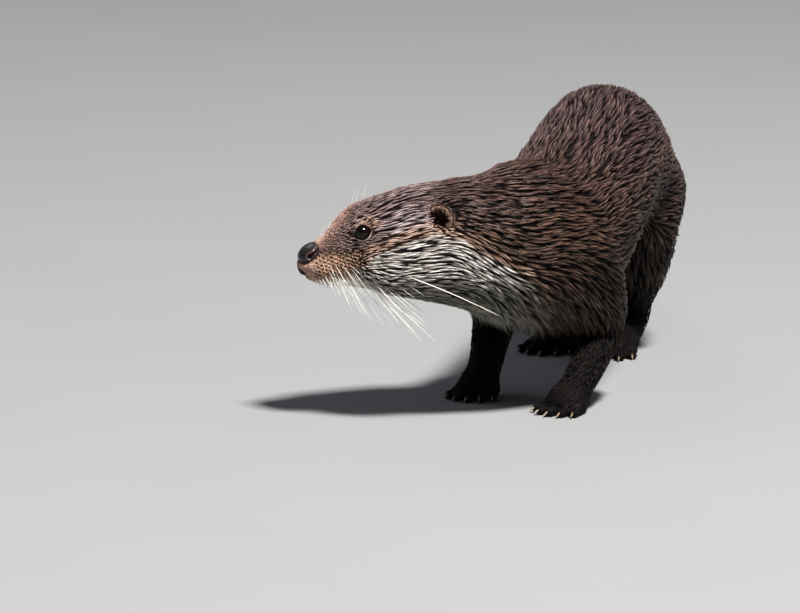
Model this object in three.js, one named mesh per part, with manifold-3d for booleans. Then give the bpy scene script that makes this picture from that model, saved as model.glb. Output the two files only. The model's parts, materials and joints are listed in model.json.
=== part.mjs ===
// River otter (Lutra lutra), a still life-size model of an adult standing low on its forelegs with an
// arched back, its head turned to its right. Millimetres, +Z up. The trunk runs along +Y, tail behind.
// The flesh is one smooth implicit body: swept ellipses for head, trunk and tail, tapering tubes for the
// limbs and ellipsoids for the muscles, blended softly. It is meshed region by region and parted with
// thin cuts, so that every part is a closed solid. The surface is the outline of the lying coat.
import * as THREE from "three";
import { mergeVertices } from "three/addons/utils/BufferGeometryUtils.js";
import Module from "manifold-3d";

const wasm = await Module();
wasm.setup();

// ---------------------------------------------------------------- driving dimensions

const GAP = 0.3; // width of the thin cuts between parts
const FLOOR = 0; // level of the soles
const FLAT = 1; // how far the pads and toes are sunk below the floor before their soles are cut flat

// Mesh cell of each region: small where the form is fine.
const CELL = { head: 7.2, neck: 13.5, torso: 17, leg: 12 };

// Head frame: origin at the tip of the nose, "back" along the skull, "left" and "up" across it.
const HEAD = { nose: [-164, -105, 119], heading: 18, rise: 5.7 };

// Sections across the skull: distance behind the nose, half width, height above and depth below the axis.
const SKULL = [
  { back: 9, wide: 9, above: 8.5, below: 13.5 },
  { back: 15, wide: 13, above: 11.5, below: 16 },
  { back: 23, wide: 20, above: 17, below: 20 },
  { back: 31, wide: 24.5, above: 26, below: 23.5 },
  { back: 40, wide: 27, above: 32.5, below: 26.5 },
  { back: 50, wide: 31, above: 36.5, below: 28.5 },
  { back: 64, wide: 37.5, above: 39, below: 31 },
  { back: 80, wide: 42, above: 40, below: 34 },
  { back: 98, wide: 44, above: 39.5, below: 39 },
  { back: 118, wide: 45, above: 40, below: 44 },
];
const SKULL_SQUARENESS = 2.25; // exponent of the section's superellipse
const SNOUT_BLUNTNESS = 0.6; // how far the end of the muzzle swells past its first section

// Sections along neck, trunk and tail: centre, half width, height above and depth below it.
const SPINE = [
  { at: [-73, -76, 129], wide: 44, above: 40, below: 41 },
  { at: [-49, -65, 127], wide: 47, above: 48, below: 46 },
  { at: [-22, -45, 123], wide: 52, above: 62, below: 53 },
  { at: [0, 0, 118], wide: 55, above: 66, below: 59 },
  { at: [8, 69, 140], wide: 54, above: 59, below: 57 },
  { at: [11, 146, 160], wide: 50, above: 58, below: 55 },
  { at: [6, 222, 136], wide: 50, above: 58, below: 52 },
  { at: [-1, 283, 97], wide: 42, above: 46, below: 44 },
  { at: [-8, 328, 66], wide: 31, above: 30, below: 29 },
  { at: [-14, 380, 38], wide: 24, above: 22, below: 21 },
  { at: [-26, 440, 20], wide: 19, above: 16, below: 16 },
  { at: [-44, 520, 12], wide: 15.5, above: 13, below: 13 },
  { at: [-68, 600, 8.7], wide: 11, above: 9.5, below: 9.5 },
  { at: [-98, 672, 4.5], wide: 5.5, above: 5, below: 5 },
  { at: [-104, 685, 2], wide: 2.6, above: 2.4, below: 2.4 },
];

// Feet: the pad of the palm (its centre past the last joint, half length, half width and height) and the toes
// (half angle of the fan, spread of their roots, reach of each from the thumb side, radius of the knuckles,
// height of the tips, thickness of the web).
const FOREPAW = {
  palm: { ahead: 3, radii: [16, 15, 9.5] },
  fan: 19,
  spread: 22,
  reach: [17, 22, 24, 22.5, 18],
  knuckle: 5,
  tip: 3.9,
  web: 4.5,
};
const HINDFOOT = {
  palm: { ahead: 4, radii: [21, 15, 9.5] },
  fan: 18,
  spread: 23,
  reach: [20, 29, 33, 31, 25],
  knuckle: 5.3,
  tip: 4.1,
  web: 4.5,
};
// Claws: length past the toe, radii at root and point, share of the toe's reach where the root sits, and the
// heights of root (as a multiple of the toe tip's) and point.
const CLAW = { length: 6, radius: 1.5, pointRadius: 0.45, root: 0.85, rise: 1.1, point: 1.4 };

// Limbs: centre and radius of each joint and mid-point, from the body outwards. A limb is parted from the
// trunk by a plane: the limb lies on the side that the normal points to. Its foot starts after a joint.
const LIMBS = {
  foreleg_left: {
    footName: "forepaw_left",
    foot: FOREPAW,
    footStart: 3,
    joints: [
      { at: [22, -20, 108], radius: 32 },
      { at: [34, -2, 80], radius: 26 },
      { at: [38, 10, 56], radius: 17.5 },
      { at: [36, -10, 38], radius: 14 },
      { at: [31, -29, 23], radius: 12.5 },
      { at: [25, -41, 12], radius: 12 },
    ],
    parting: { at: [42, 4, 74], normal: [0.62, 0, -0.78] },
  },
  foreleg_right: {
    footName: "forepaw_right",
    foot: FOREPAW,
    footStart: 3,
    joints: [
      { at: [-34, 6, 108], radius: 32 },
      { at: [-44, 30, 80], radius: 26 },
      { at: [-49, 46, 56], radius: 17.5 },
      { at: [-50, 30, 38], radius: 14 },
      { at: [-50, 14, 23], radius: 12.5 },
      { at: [-52, 2, 12], radius: 12 },
    ],
    parting: { at: [-44, 38, 76], normal: [-0.62, 0, -0.78] },
  },
  hindleg_left: {
    footName: "hindfoot_left",
    foot: HINDFOOT,
    footStart: 3,
    joints: [
      { at: [26, 232, 122], radius: 34 },
      { at: [33, 208, 92], radius: 27 },
      { at: [31, 218, 62], radius: 18 },
      { at: [23, 242, 38], radius: 12.5 },
      { at: [19, 246, 20], radius: 12 },
      { at: [17, 222, 12], radius: 12 },
      { at: [15, 198, 11], radius: 12 },
    ],
    parting: { at: [36, 215, 94], normal: [0.45, -0.42, -0.79] },
  },
  hindleg_right: {
    footName: "hindfoot_right",
    foot: HINDFOOT,
    footStart: 3,
    joints: [
      { at: [-24, 236, 122], radius: 34 },
      { at: [-35, 216, 92], radius: 27 },
      { at: [-37, 228, 62], radius: 18 },
      { at: [-33, 252, 38], radius: 12.5 },
      { at: [-31, 256, 20], radius: 12 },
      { at: [-33, 232, 12], radius: 12 },
      { at: [-36, 208, 11], radius: 12 },
    ],
    parting: { at: [-36, 223, 94], normal: [-0.45, -0.42, -0.79] },
  },
};

// Muscles on the trunk: centre and radii. Those of the head are in the head frame.
const MUSCLES = [
  { at: [25, 232, 118], radii: [27, 44, 46] }, // left haunch
  { at: [-28, 236, 116], radii: [25, 44, 48] }, // right haunch
];
const HEAD_FORMS = [
  { back: 20, left: 11, up: -8, radii: [15, 12.5, 11] }, // whisker pads
  { back: 20, left: -11, up: -8, radii: [15, 12.5, 11] },
  { back: 12, left: 0, up: -9.2, radii: [12.8, 9, 8] }, // upper lip below the nose
  { back: 24, left: 0, up: -13, radii: [14, 11, 8.5] }, // chin
  { back: 76, left: 26, up: -10, radii: [34, 20, 23] }, // jowls
  { back: 76, left: -26, up: -10, radii: [34, 20, 23] },
];

const EYE = { back: 46.8, left: 23.6, up: 16.8, radius: 6.2 };

// The ear is a cup. Its mouth faces "turn" degrees outwards from straight ahead, and its rim leans back.
// Its height is a share of its width, and its socket is cleared for some way past the rim.
const EAR = { back: 103, left: 38, up: 23, radius: 10.4, depth: 8, wall: 2.4 };
const EAR_POSE = { turn: 62, lift: 0.1, lean: [0.23, 0.25, 1], height: 0.88, clearance: 8 };

const NOSE = { back: 8.4, up: 1.2, radii: [9.4, 11.4, 8.6] };
const NOSTRIL = { back: 6.5, left: 9.4, up: 2.4, radii: [3.5, 2.4, 2.2] };

const TAIL = { first: 7, perSpan: 2, sides: 10 }; // its first station of the spine, and its loft

const SOFTNESS = { limb: 14, muscle: 16, head: 8, neck: 14, palm: 8 }; // blend lengths of the implicit forms
const STEPS = { swept: 6, tube: 5 }; // straight pieces in each span of a run

// ---------------------------------------------------------------- small vector helpers

const vec = (a) => new THREE.Vector3(...a);
const UP = vec([0, 0, 1]);

function catmullRom(a, b, c, d, t) {
  return 0.5 * (2 * b + (c - a) * t + (2 * a - 5 * b + 4 * c - d) * t * t + (3 * b - a - 3 * c + d) * t ** 3);
}

// Stations rounded into a smooth run: every value of a station is interpolated on its own.
function smoothRun(stations, perSpan) {
  const rows = stations.map((s) => [...s.at, ...s.sizes]);
  const pick = (i) => rows[Math.min(Math.max(i, 0), rows.length - 1)];
  const run = [];
  for (let i = 0; i < rows.length - 1; i++) {
    const four = [pick(i - 1), pick(i), pick(i + 1), pick(i + 2)];
    for (let k = 0; k < perSpan; k++) {
      run.push(rows[i].map((_, j) => catmullRom(...four.map((row) => row[j]), k / perSpan)));
    }
  }
  run.push(rows.at(-1));
  return run;
}

// ---------------------------------------------------------------- implicit forms
// A form is a function of (x, y, z) that is negative inside, and about the distance in mm near its surface.

function smoothMin(a, b, softness) {
  const h = Math.max(softness - Math.abs(a - b), 0) / softness;
  return Math.min(a, b) - (h * h * softness) / 4;
}

// Distance along the ray from a section's centre to its superellipse. Past the ends the form is rounded off.
function sectionDistance(across, upward, beyond, wide, high, { power, bluntness }) {
  const share = (Math.abs(across / wide) ** power + Math.abs(upward / high) ** power) ** (1 / power);
  const k = Math.hypot(share, beyond / (bluntness * Math.min(wide, high)));
  return k < 1e-6 ? -Math.min(wide, high) : Math.hypot(across, upward, beyond) * (1 - 1 / k);
}

// Ellipses carried along a run. Their side axis stays level, so the body never rolls.
function sweptForm(stations, shape = { power: 2, bluntness: 1 }) {
  const run = smoothRun(stations, STEPS.swept);
  const spans = run.slice(1).map((end, i) => {
    const from = run[i];
    const along = vec(end.slice(0, 3)).sub(vec(from.slice(0, 3)));
    return { from, end, along, squared: along.lengthSq() };
  });
  const sides = run.map((_, i) => {
    const before = spans[Math.max(i - 1, 0)].along;
    const after = spans[Math.min(i, spans.length - 1)].along;
    const tangent = before.clone().add(after).normalize();
    return { tangent, side: tangent.clone().cross(UP).normalize() };
  });
  return (x, y, z) => {
    let best = Infinity;
    let at = 0;
    let share = 0;
    spans.forEach(({ from, along, squared }, i) => {
      const dx = x - from[0];
      const dy = y - from[1];
      const dz = z - from[2];
      const t = Math.min(Math.max((dx * along.x + dy * along.y + dz * along.z) / squared, 0), 1);
      const d = (dx - along.x * t) ** 2 + (dy - along.y * t) ** 2 + (dz - along.z * t) ** 2;
      if (d < best) [best, at, share] = [d, i, t];
    });
    const mix = (j) => spans[at].from[j] * (1 - share) + spans[at].end[j] * share;
    const tangent = sides[at].tangent.clone().lerp(sides[at + 1].tangent, share).normalize();
    const side = sides[at].side.clone().lerp(sides[at + 1].side, share).normalize();
    const top = side.clone().cross(tangent);
    const off = new THREE.Vector3(x - mix(0), y - mix(1), z - mix(2));
    const upward = off.dot(top);
    const [wide, above, below] = [mix(3), mix(4), mix(5)];
    return sectionDistance(off.dot(side), upward, off.dot(tangent), wide, upward > 0 ? above : below, shape);
  };
}

// A round tube whose radius changes along a run of joints.
function tubeForm(joints) {
  const run = smoothRun(joints.map((j) => ({ at: j.at, sizes: [j.radius] })), STEPS.tube);
  return (x, y, z) => {
    let best = Infinity;
    for (let i = 0; i < run.length - 1; i++) {
      const [a, b] = [run[i], run[i + 1]];
      const [ux, uy, uz] = [b[0] - a[0], b[1] - a[1], b[2] - a[2]];
      const [dx, dy, dz] = [x - a[0], y - a[1], z - a[2]];
      const t = Math.min(Math.max((dx * ux + dy * uy + dz * uz) / (ux * ux + uy * uy + uz * uz), 0), 1);
      const d = Math.hypot(dx - ux * t, dy - uy * t, dz - uz * t) - (a[3] * (1 - t) + b[3] * t);
      best = Math.min(best, d);
    }
    return best;
  };
}

function ellipsoidForm(at, radii, axes = [vec([1, 0, 0]), vec([0, 1, 0]), UP]) {
  return (x, y, z) => {
    const off = new THREE.Vector3(x - at.x, y - at.y, z - at.z);
    const k = Math.hypot(...axes.map((axis, i) => off.dot(axis) / radii[i]));
    return k < 1e-6 ? -Math.min(...radii) : off.length() * (1 - 1 / k);
  };
}

// ---------------------------------------------------------------- the head frame

const radians = THREE.MathUtils.degToRad;
const headBack = vec([
  Math.cos(radians(HEAD.heading)) * Math.cos(radians(HEAD.rise)),
  Math.sin(radians(HEAD.heading)) * Math.cos(radians(HEAD.rise)),
  Math.sin(radians(HEAD.rise)),
]);
const headLeft = headBack.clone().cross(UP).normalize();
const headUp = headLeft.clone().cross(headBack);
const HEAD_AXES = [headBack, headLeft, headUp];
const headPoint = (back, left, up) =>
  vec(HEAD.nose).addScaledVector(headBack, back).addScaledVector(headLeft, left).addScaledVector(headUp, up);

// ---------------------------------------------------------------- the whole body

// The way a foot points: level, along the last two joints.
const footAhead = (joints) => vec(joints.at(-1).at).sub(vec(joints.at(-2).at)).setZ(0).normalize();

// A tube down the limb, with a flat round pad for the palm at its end.
function limbForm({ joints, foot }) {
  const tube = tubeForm(joints);
  const ahead = footAhead(joints);
  const { palm } = foot;
  const centre = vec(joints.at(-1).at).addScaledVector(ahead, palm.ahead).setZ(palm.radii[2] - FLAT);
  const pad = ellipsoidForm(centre, palm.radii, [ahead, ahead.clone().cross(UP), UP]);
  return (x, y, z) => smoothMin(tube(x, y, z), pad(x, y, z), SOFTNESS.palm);
}

const headForm = sweptForm(
  SKULL.map((s) => ({ at: headPoint(s.back, 0, 0).toArray(), sizes: [s.wide, s.above, s.below] })),
  { power: SKULL_SQUARENESS, bluntness: SNOUT_BLUNTNESS },
);
const headForms = HEAD_FORMS.map((f) => ellipsoidForm(headPoint(f.back, f.left, f.up), f.radii, HEAD_AXES));
const stationSizes = ({ at, wide, above, below }) => ({ at, sizes: [wide, above, below] });
const spineForm = sweptForm(SPINE.map(stationSizes));
const limbForms = Object.fromEntries(Object.entries(LIMBS).map(([name, limb]) => [name, limbForm(limb)]));
const muscleForms = MUSCLES.map((m) => ellipsoidForm(vec(m.at), m.radii));

function body(x, y, z) {
  let head = headForm(x, y, z);
  for (const form of headForms) head = smoothMin(head, form(x, y, z), SOFTNESS.head);
  let trunk = spineForm(x, y, z);
  for (const form of muscleForms) trunk = smoothMin(trunk, form(x, y, z), SOFTNESS.muscle);
  for (const form of Object.values(limbForms)) trunk = smoothMin(trunk, form(x, y, z), SOFTNESS.limb);
  return smoothMin(head, trunk, SOFTNESS.neck);
}

// ---------------------------------------------------------------- meshing

// The corners of a cell are numbered by their bits, one bit for each axis. An edge is the number of its lower
// corner and its axis. The rings are the four corners round each face of the cell.
const AXES = [0, 1, 2];
const edgeOf = (a, b) => Math.min(a, b) * 3 + Math.log2(a ^ b);
const CORNERS = [0, 1, 2, 3, 4, 5, 6, 7];
const CELL_EDGES = CORNERS.flatMap((a) => {
  const rising = AXES.filter((axis) => !(a & (1 << axis)));
  return rising.map((axis) => ({ a, b: a | (1 << axis), axis, id: a * 3 + axis }));
});
const FACE_RINGS = AXES.flatMap((axis) => {
  const [u, v] = [1 << (axis + 1) % 3, 1 << (axis + 2) % 3];
  return [0, 1 << axis].map((base) => [base, base | u, base | u | v, base | v]);
});

// Groups a cell's crossed edges into the sheets of surface that pass through it.
function sheetsOf(inside) {
  const crossed = CELL_EDGES.filter(({ a, b }) => inside[a] !== inside[b]);
  const group = new Map(crossed.map(({ id }) => [id, id]));
  const join = (one, other) => {
    const [keep, drop] = [group.get(one), group.get(other)];
    for (const [id, label] of group) if (label === drop) group.set(id, keep);
  };
  for (const ring of FACE_RINGS)
    ring.forEach((corner, i) => {
      const [next, before] = [ring[(i + 1) % 4], ring[(i + 3) % 4]];
      if (!inside[corner]) return;
      const opposite = ring[(i + 2) % 4];
      if (!inside[next] && !inside[before]) join(edgeOf(corner, next), edgeOf(corner, before));
      else if (inside[next] && !inside[before] && !inside[opposite])
        join(edgeOf(corner, before), edgeOf(next, opposite));
      else if (inside[next] && inside[before] && !inside[opposite])
        join(edgeOf(next, opposite), edgeOf(before, opposite));
    });
  return { crossed, group };
}

// Surface net of form in a box: a vertex for each sheet in each cell that the surface crosses, settled on the
// surface, and round each crossed edge a four-sided face, parted along its shorter diagonal. The box closes
// what runs out of it.
function surfaceNet(form, low, high, cell) {
  const [nx, ny, nz] = low.map((v, i) => Math.ceil((high[i] - v) / cell) + 1);
  const index = (i, j, k) => (i * ny + j) * nz + k;
  const offset = (corner) => index(corner & 1, (corner >> 1) & 1, corner >> 2);
  const value = new Float64Array(nx * ny * nz);
  for (let i = 0; i < nx; i++)
    for (let j = 0; j < ny; j++)
      for (let k = 0; k < nz; k++) {
        const rim = Math.min(i, j, k, nx - 1 - i, ny - 1 - j, nz - 1 - k) === 0;
        value[index(i, j, k)] = rim ? cell : form(low[0] + i * cell, low[1] + j * cell, low[2] + k * cell);
      }
  const vertexOf = new Map(); // from a cell and one of its edges
  const positions = [];
  for (let i = 0; i < nx - 1; i++)
    for (let j = 0; j < ny - 1; j++)
      for (let k = 0; k < nz - 1; k++) {
        const base = index(i, j, k);
        const values = CORNERS.map((corner) => value[base + offset(corner)]);
        const inside = values.map((v) => v < 0);
        if (inside.every((v) => v === inside[0])) continue;
        const { crossed, group } = sheetsOf(inside);
        for (const label of new Set(group.values())) {
          const edges = crossed.filter(({ id }) => group.get(id) === label);
          const at = [i, j, k];
          for (const { a, b, axis } of edges) {
            const t = values[a] / (values[a] - values[b]);
            for (const d of AXES) at[d] += (((a >> d) & 1) + (d === axis ? t : 0)) / edges.length;
          }
          for (const { id } of edges) vertexOf.set(base * 24 + id, positions.length / 3);
          positions.push(...settle(form, at.map((v, d) => low[d] + v * cell), cell));
        }
      }
  const vertex = (i) => new THREE.Vector3().fromArray(positions, i * 3);
  const faces = [];
  for (let i = 0; i < nx - 1; i++)
    for (let j = 0; j < ny - 1; j++)
      for (let k = 0; k < nz - 1; k++)
        for (const axis of AXES) {
          const base = index(i, j, k);
          const inside = value[base] < 0;
          if (inside === value[base + offset(1 << axis)] < 0) continue;
          const [u, v] = [1 << (axis + 1) % 3, 1 << (axis + 2) % 3];
          const ring = [0, u, u | v, v].map((corner) =>
            vertexOf.get((base - offset(corner)) * 24 + corner * 3 + axis));
          const [p, q, r, s] = inside ? ring : ring.reverse();
          const [pr, qs] = [[p, r], [q, s]].map(([from, to]) => vertex(from).distanceTo(vertex(to)));
          if (pr <= qs) faces.push(p, q, r, p, r, s);
          else faces.push(p, q, s, q, r, s);
        }
  return solid(positions, faces);
}

// Moves a point onto the surface along the form's slope, by at most half a cell.
function settle(form, at, cell) {
  const step = 0.2;
  let [x, y, z] = at;
  for (let round = 0; round < 3; round++) {
    const d = form(x, y, z);
    const ahead = [form(x + step, y, z), form(x, y + step, z), form(x, y, z + step)];
    const slope = ahead.map((v) => (v - d) / step);
    const steep = Math.max(slope[0] ** 2 + slope[1] ** 2 + slope[2] ** 2, 0.2);
    const move = Math.min(Math.max(d / steep, -cell / 2), cell / 2);
    [x, y, z] = [x - slope[0] * move, y - slope[1] * move, z - slope[2] * move];
  }
  return [x, y, z];
}

function solid(positions, faces) {
  const mesh = new wasm.Mesh({
    numProp: 3,
    vertProperties: new Float32Array(positions),
    triVerts: new Uint32Array(faces),
  });
  return new wasm.Manifold(mesh);
}

// The same, with the faces turned round where they point inwards.
function outwardSolid(positions, faces) {
  const made = solid(positions, faces);
  return made.volume() > 0 ? made : solid(positions, faces.reverse());
}

// A three.js geometry as a solid, placed by a matrix.
function solidOf(geometry, matrix = new THREE.Matrix4()) {
  const bare = geometry.clone().applyMatrix4(matrix);
  bare.deleteAttribute("normal");
  bare.deleteAttribute("uv");
  const merged = mergeVertices(bare, 1e-4);
  return outwardSolid(merged.attributes.position.array, merged.index.array);
}

// Elliptical rings carried along a run of centres, closed by a fan at each end. Their side axis is level.
function loft(rings, sides) {
  const positions = [];
  const faces = [];
  const centres = rings.map((r) => vec(r.at));
  rings.forEach(({ wide, above, below }, i) => {
    const [before, after] = [centres[Math.max(i - 1, 0)], centres[Math.min(i + 1, centres.length - 1)]];
    const tangent = after.clone().sub(before).normalize();
    const side = tangent.clone().cross(UP).normalize();
    const top = side.clone().cross(tangent);
    for (let k = 0; k < sides; k++) {
      const angle = (k / sides) * 2 * Math.PI;
      const upward = Math.sin(angle);
      const point = centres[i].clone().addScaledVector(side, Math.cos(angle) * wide);
      point.addScaledVector(top, upward * (upward > 0 ? above : below));
      positions.push(...point.toArray());
    }
  });
  for (let i = 0; i < rings.length - 1; i++)
    for (let k = 0; k < sides; k++) {
      const [a, b] = [i * sides + k, i * sides + ((k + 1) % sides)];
      faces.push(a, a + sides, b + sides, a, b + sides, b);
    }
  const last = (rings.length - 1) * sides;
  for (let k = 1; k < sides - 1; k++) faces.push(0, k, k + 1, last, last + k + 1, last + k);
  return outwardSolid(positions, faces);
}

const roundRing = (at, radius) => ({ at, wide: radius, above: radius, below: radius });

// Keeps what lies on the positive side of a plane through a point.
const keep = (from, point, normal, gap = GAP / 2) => {
  const n = normal.clone().normalize();
  return from.trimByPlane(n.toArray(), n.dot(point) + gap);
};

const aboveFloor = (from) => from.trimByPlane([0, 0, 1], FLOOR);

function largest(from) {
  return from.decompose().reduce((a, b) => (a.volume() > b.volume() ? a : b));
}

// ---------------------------------------------------------------- cutting planes along the body

// The plane across the spine between two stations, share of the way from the first.
function spinePlane(i, share) {
  const [a, b] = [vec(SPINE[i].at), vec(SPINE[i + 1].at)];
  return { point: a.clone().lerp(b, share), normal: b.clone().sub(a).normalize() };
}
const CUTS = {
  neck: { point: headPoint(116, 0, 0), normal: headBack },
  chest: spinePlane(2, 0.45),
  loin: { point: vec([0, 88, 0]), normal: vec([0, 1, 0]) },
  rump: { point: vec([0, 182, 0]), normal: vec([0, 1, 0]) },
  tail: spinePlane(7, 0.75),
  tailMiddle: spinePlane(10, 0.2),
  tailTip: spinePlane(11, 0.9),
};

function between(from, start, end) {
  let kept = from;
  if (start) kept = keep(kept, start.point, start.normal);
  if (end) kept = keep(kept, end.point, end.normal.clone().negate());
  return largest(kept);
}

// ---------------------------------------------------------------- legs

// A box round a limb from its elbow or knee down, closed by the plane where the limb leaves the trunk.
const LIMB_ROOM = 14; // from the limb's tube to the sides of its box
const ELBOW = 2; // number of the joint

function boxRound(joints, margin) {
  const low = AXES.map((axis) => Math.min(...joints.map((j) => j.at[axis] - j.radius)) - margin);
  const high = AXES.map((axis) => Math.max(...joints.map((j) => j.at[axis] + j.radius)) + margin);
  return [low, high];
}

function limbBox({ joints, parting }, gap) {
  const [low, high] = boxRound(joints.slice(ELBOW), LIMB_ROOM + gap).map(vec);
  high.z = joints[0].at[2];
  const size = high.clone().sub(low);
  const place = new THREE.Matrix4().setPosition(low.add(high).multiplyScalar(0.5));
  const whole = solidOf(new THREE.BoxGeometry(...size.toArray()), place);
  return keep(whole, vec(parting.at), vec(parting.normal), GAP / 2 - gap);
}

// Columns across a foot, from its thumb side: a crest on each toe, a valley in each web and the two edges.
// "place" is the way across, -1 on the first toe and 1 on the last, and "crest" tells the toes from the webs.
const COLUMNS = [-1.2, -1, -0.75, -0.5, -0.25, 0, 0.25, 0.5, 0.75, 1, 1.2].map((place) => ({
  place,
  crest: Number.isInteger(place * 2),
}));
const EDGE_REACH = 0.9; // of the toe beside it, at the edge of the foot
const WRIST_SWEEP = (0.96 * Math.PI) / 2; // half angle of the top and of the bottom of a round ring

// Rings over the toes: share of the reach on a toe and in the web, and share of the full thickness.
const TOE_RINGS = [
  { onToe: 0.1, inWeb: 0.1, thick: 1.25 },
  { onToe: 0.6, inWeb: 0.5, thick: 1 },
  { onToe: 0.95, inWeb: 0.68, thick: 0.8 },
  { onToe: 1.1, inWeb: 0.76, thick: 0.35 },
];

// The foot is one loft: round at the wrist or hock, flat over the palm, and fanned out into webbed toes.
// Every ring goes across over the top and back under the sole.
function footSolid({ joints, foot, footStart }) {
  const end = vec(joints.at(-1).at);
  const ahead = footAhead(joints);
  const across = ahead.clone().cross(UP);
  const overTop = COLUMNS.map((column) => ({ ...column, top: true }));
  const columns = [...overTop, ...COLUMNS.toReversed()];
  const widest = COLUMNS.at(-1).place;
  const positions = [];
  const roundRingAt = (centre, tangent, wide, high) => {
    const rise = across.clone().cross(tangent).normalize();
    for (const { place, top } of columns) {
      const angle = WRIST_SWEEP * (place / widest);
      const point = centre.clone().addScaledVector(across, Math.sin(angle) * wide);
      positions.push(...point.addScaledVector(rise, Math.cos(angle) * (top ? high : -high)).toArray());
    }
  };
  for (let i = footStart; i < joints.length - 1; i++) {
    const tangent = vec(joints[i + 1].at).sub(vec(joints[i - 1].at));
    roundRingAt(vec(joints[i].at), tangent, joints[i].radius, joints[i].radius);
  }
  const { palm, fan, spread, reach, knuckle, web } = foot;
  const height = palm.radii[2];
  roundRingAt(end.clone().setZ(height), ahead, palm.radii[1], height + FLAT);
  for (const { onToe, inWeb, thick } of TOE_RINGS)
    for (const { place, crest, top } of columns) {
      const toe = THREE.MathUtils.clamp(place, -1, 1) * 2 + 2;
      const length = THREE.MathUtils.lerp(reach[Math.floor(toe)], reach[Math.ceil(toe)], toe % 1);
      const inWebOrEdge = Math.abs(place) > 1 ? onToe * EDGE_REACH : inWeb;
      const out = ahead.clone().applyAxisAngle(UP, -place * radians(fan));
      const point = end.clone().addScaledVector(across, (place * spread) / 2);
      point.addScaledVector(out, length * (crest ? onToe : inWebOrEdge));
      const thickness = thick * (crest ? 2 * knuckle : web);
      positions.push(...point.setZ(top ? thickness : -FLAT).toArray());
    }
  const sides = columns.length;
  const rings = positions.length / 3 / sides;
  const faces = [];
  for (let i = 0; i < rings - 1; i++)
    for (let k = 0; k < sides; k++) {
      const [a, b] = [i * sides + k, i * sides + ((k + 1) % sides)];
      faces.push(a, a + sides, b + sides, a, b + sides, b);
    }
  const tips = (rings - 1) * sides;
  for (let k = 0; k < COLUMNS.length - 1; k++) {
    const [under, next] = [sides - 1 - k, sides - 2 - k];
    faces.push(k, k + 1, next, k, next, under);
    faces.push(tips + k, tips + next, tips + k + 1, tips + k, tips + under, tips + next);
  }
  let made = outwardSolid(positions, faces);
  reach.forEach((length, i) => {
    const place = i / 2 - 1;
    const out = ahead.clone().applyAxisAngle(UP, -place * radians(fan));
    const root = end.clone().addScaledVector(across, (place * spread) / 2);
    const along = (distance, level) => root.clone().addScaledVector(out, distance).setZ(level).toArray();
    const claw = [
      roundRing(along(length * CLAW.root, foot.tip * CLAW.rise), CLAW.radius),
      roundRing(along(length * TOE_RINGS.at(-1).onToe + CLAW.length, CLAW.point), CLAW.pointRadius),
    ];
    made = made.add(loft(claw, 4));
  });
  return made;
}

// One limb with its foot, parted by a plane across the wrist or the hock.
function limbSolids(name) {
  const limb = LIMBS[name];
  const { joints, footStart } = limb;
  const nearby = (x, y, z) => Math.max(body(x, y, z), limbForms[name](x, y, z) - LIMB_ROOM);
  const net = surfaceNet(nearby, ...boxRound(joints, LIMB_ROOM + CELL.leg * 2), CELL.leg);
  const [a, b] = [vec(joints[footStart].at), vec(joints[footStart + 1].at)];
  const down = b.clone().sub(a);
  const across = a.lerp(b, 0.5);
  return {
    leg: largest(keep(net.intersect(limbBox(limb, 0)), across, down.clone().negate())),
    foot: largest(aboveFloor(keep(footSolid(limb), across, down))),
    cutter: limbBox(limb, GAP),
  };
}

// ---------------------------------------------------------------- eyes, ears and nose

const headMatrix = (at) => new THREE.Matrix4().makeBasis(...HEAD_AXES).setPosition(at);

function eye(side, extra = 0) {
  const centre = headPoint(EYE.back, side * EYE.left, EYE.up);
  return solidOf(new THREE.SphereGeometry(EYE.radius + extra, 9, 6), headMatrix(centre));
}

// A shallow cup, sunk in the side of the head and open forwards and outwards.
function ear(side, extra = 0) {
  const { radius, depth, wall } = EAR;
  const bowl = (wide, deep, raised, shares) =>
    shares.map((share) => {
      const angle = (share * Math.PI) / 2;
      return new THREE.Vector2(wide * Math.sin(angle), raised - deep * Math.cos(angle));
    });
  const outer = bowl(radius + extra, depth + extra, 0, [0, 0.33, 0.66, 1]);
  const inner = bowl(radius - wall, depth, wall, [1, 0.5, 0]);
  const lid = [radius + extra, 0].map((across) => new THREE.Vector2(across, EAR_POSE.clearance));
  const cup = new THREE.LatheGeometry([...outer, ...(extra ? lid : inner)], 12);
  cup.rotateX(Math.PI / 2).scale(1, EAR_POSE.height, 1);
  const turn = radians(EAR_POSE.turn);
  const mouth = new THREE.Vector3(-Math.cos(turn), side * Math.sin(turn), EAR_POSE.lift).normalize();
  const [leanBack, leanOut, rise] = EAR_POSE.lean;
  const wide = new THREE.Vector3(leanBack, side * leanOut, rise).cross(mouth).normalize();
  const local = new THREE.Matrix4().makeBasis(wide, mouth.clone().cross(wide), mouth);
  return solidOf(cup, headMatrix(headPoint(EAR.back, side * EAR.left, EAR.up)).multiply(local));
}

function nosePad(extra = 0) {
  const radii = NOSE.radii.map((r) => r + extra);
  const ball = new THREE.SphereGeometry(1, 10, 7).scale(...radii);
  let pad = solidOf(ball, headMatrix(headPoint(NOSE.back, 0, NOSE.up)));
  if (extra) return pad;
  for (const side of [1, -1]) {
    const hole = new THREE.SphereGeometry(1, 6, 4).scale(...NOSTRIL.radii);
    pad = pad.subtract(solidOf(hole, headMatrix(headPoint(NOSTRIL.back, side * NOSTRIL.left, NOSTRIL.up))));
  }
  return pad;
}

// ---------------------------------------------------------------- parts

const limbs = Object.fromEntries(Object.keys(LIMBS).map((name) => [name, limbSolids(name)]));

// The box of each region, wide enough to hold it to its cuts.
const REGION = {
  head: [[-185, -165, 40], [-15, 0, 200]],
  neck: [[-120, -145, 30], [75, 65, 215]],
  torso: [[-95, -105, 20], [105, 345, 245]],
};

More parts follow.
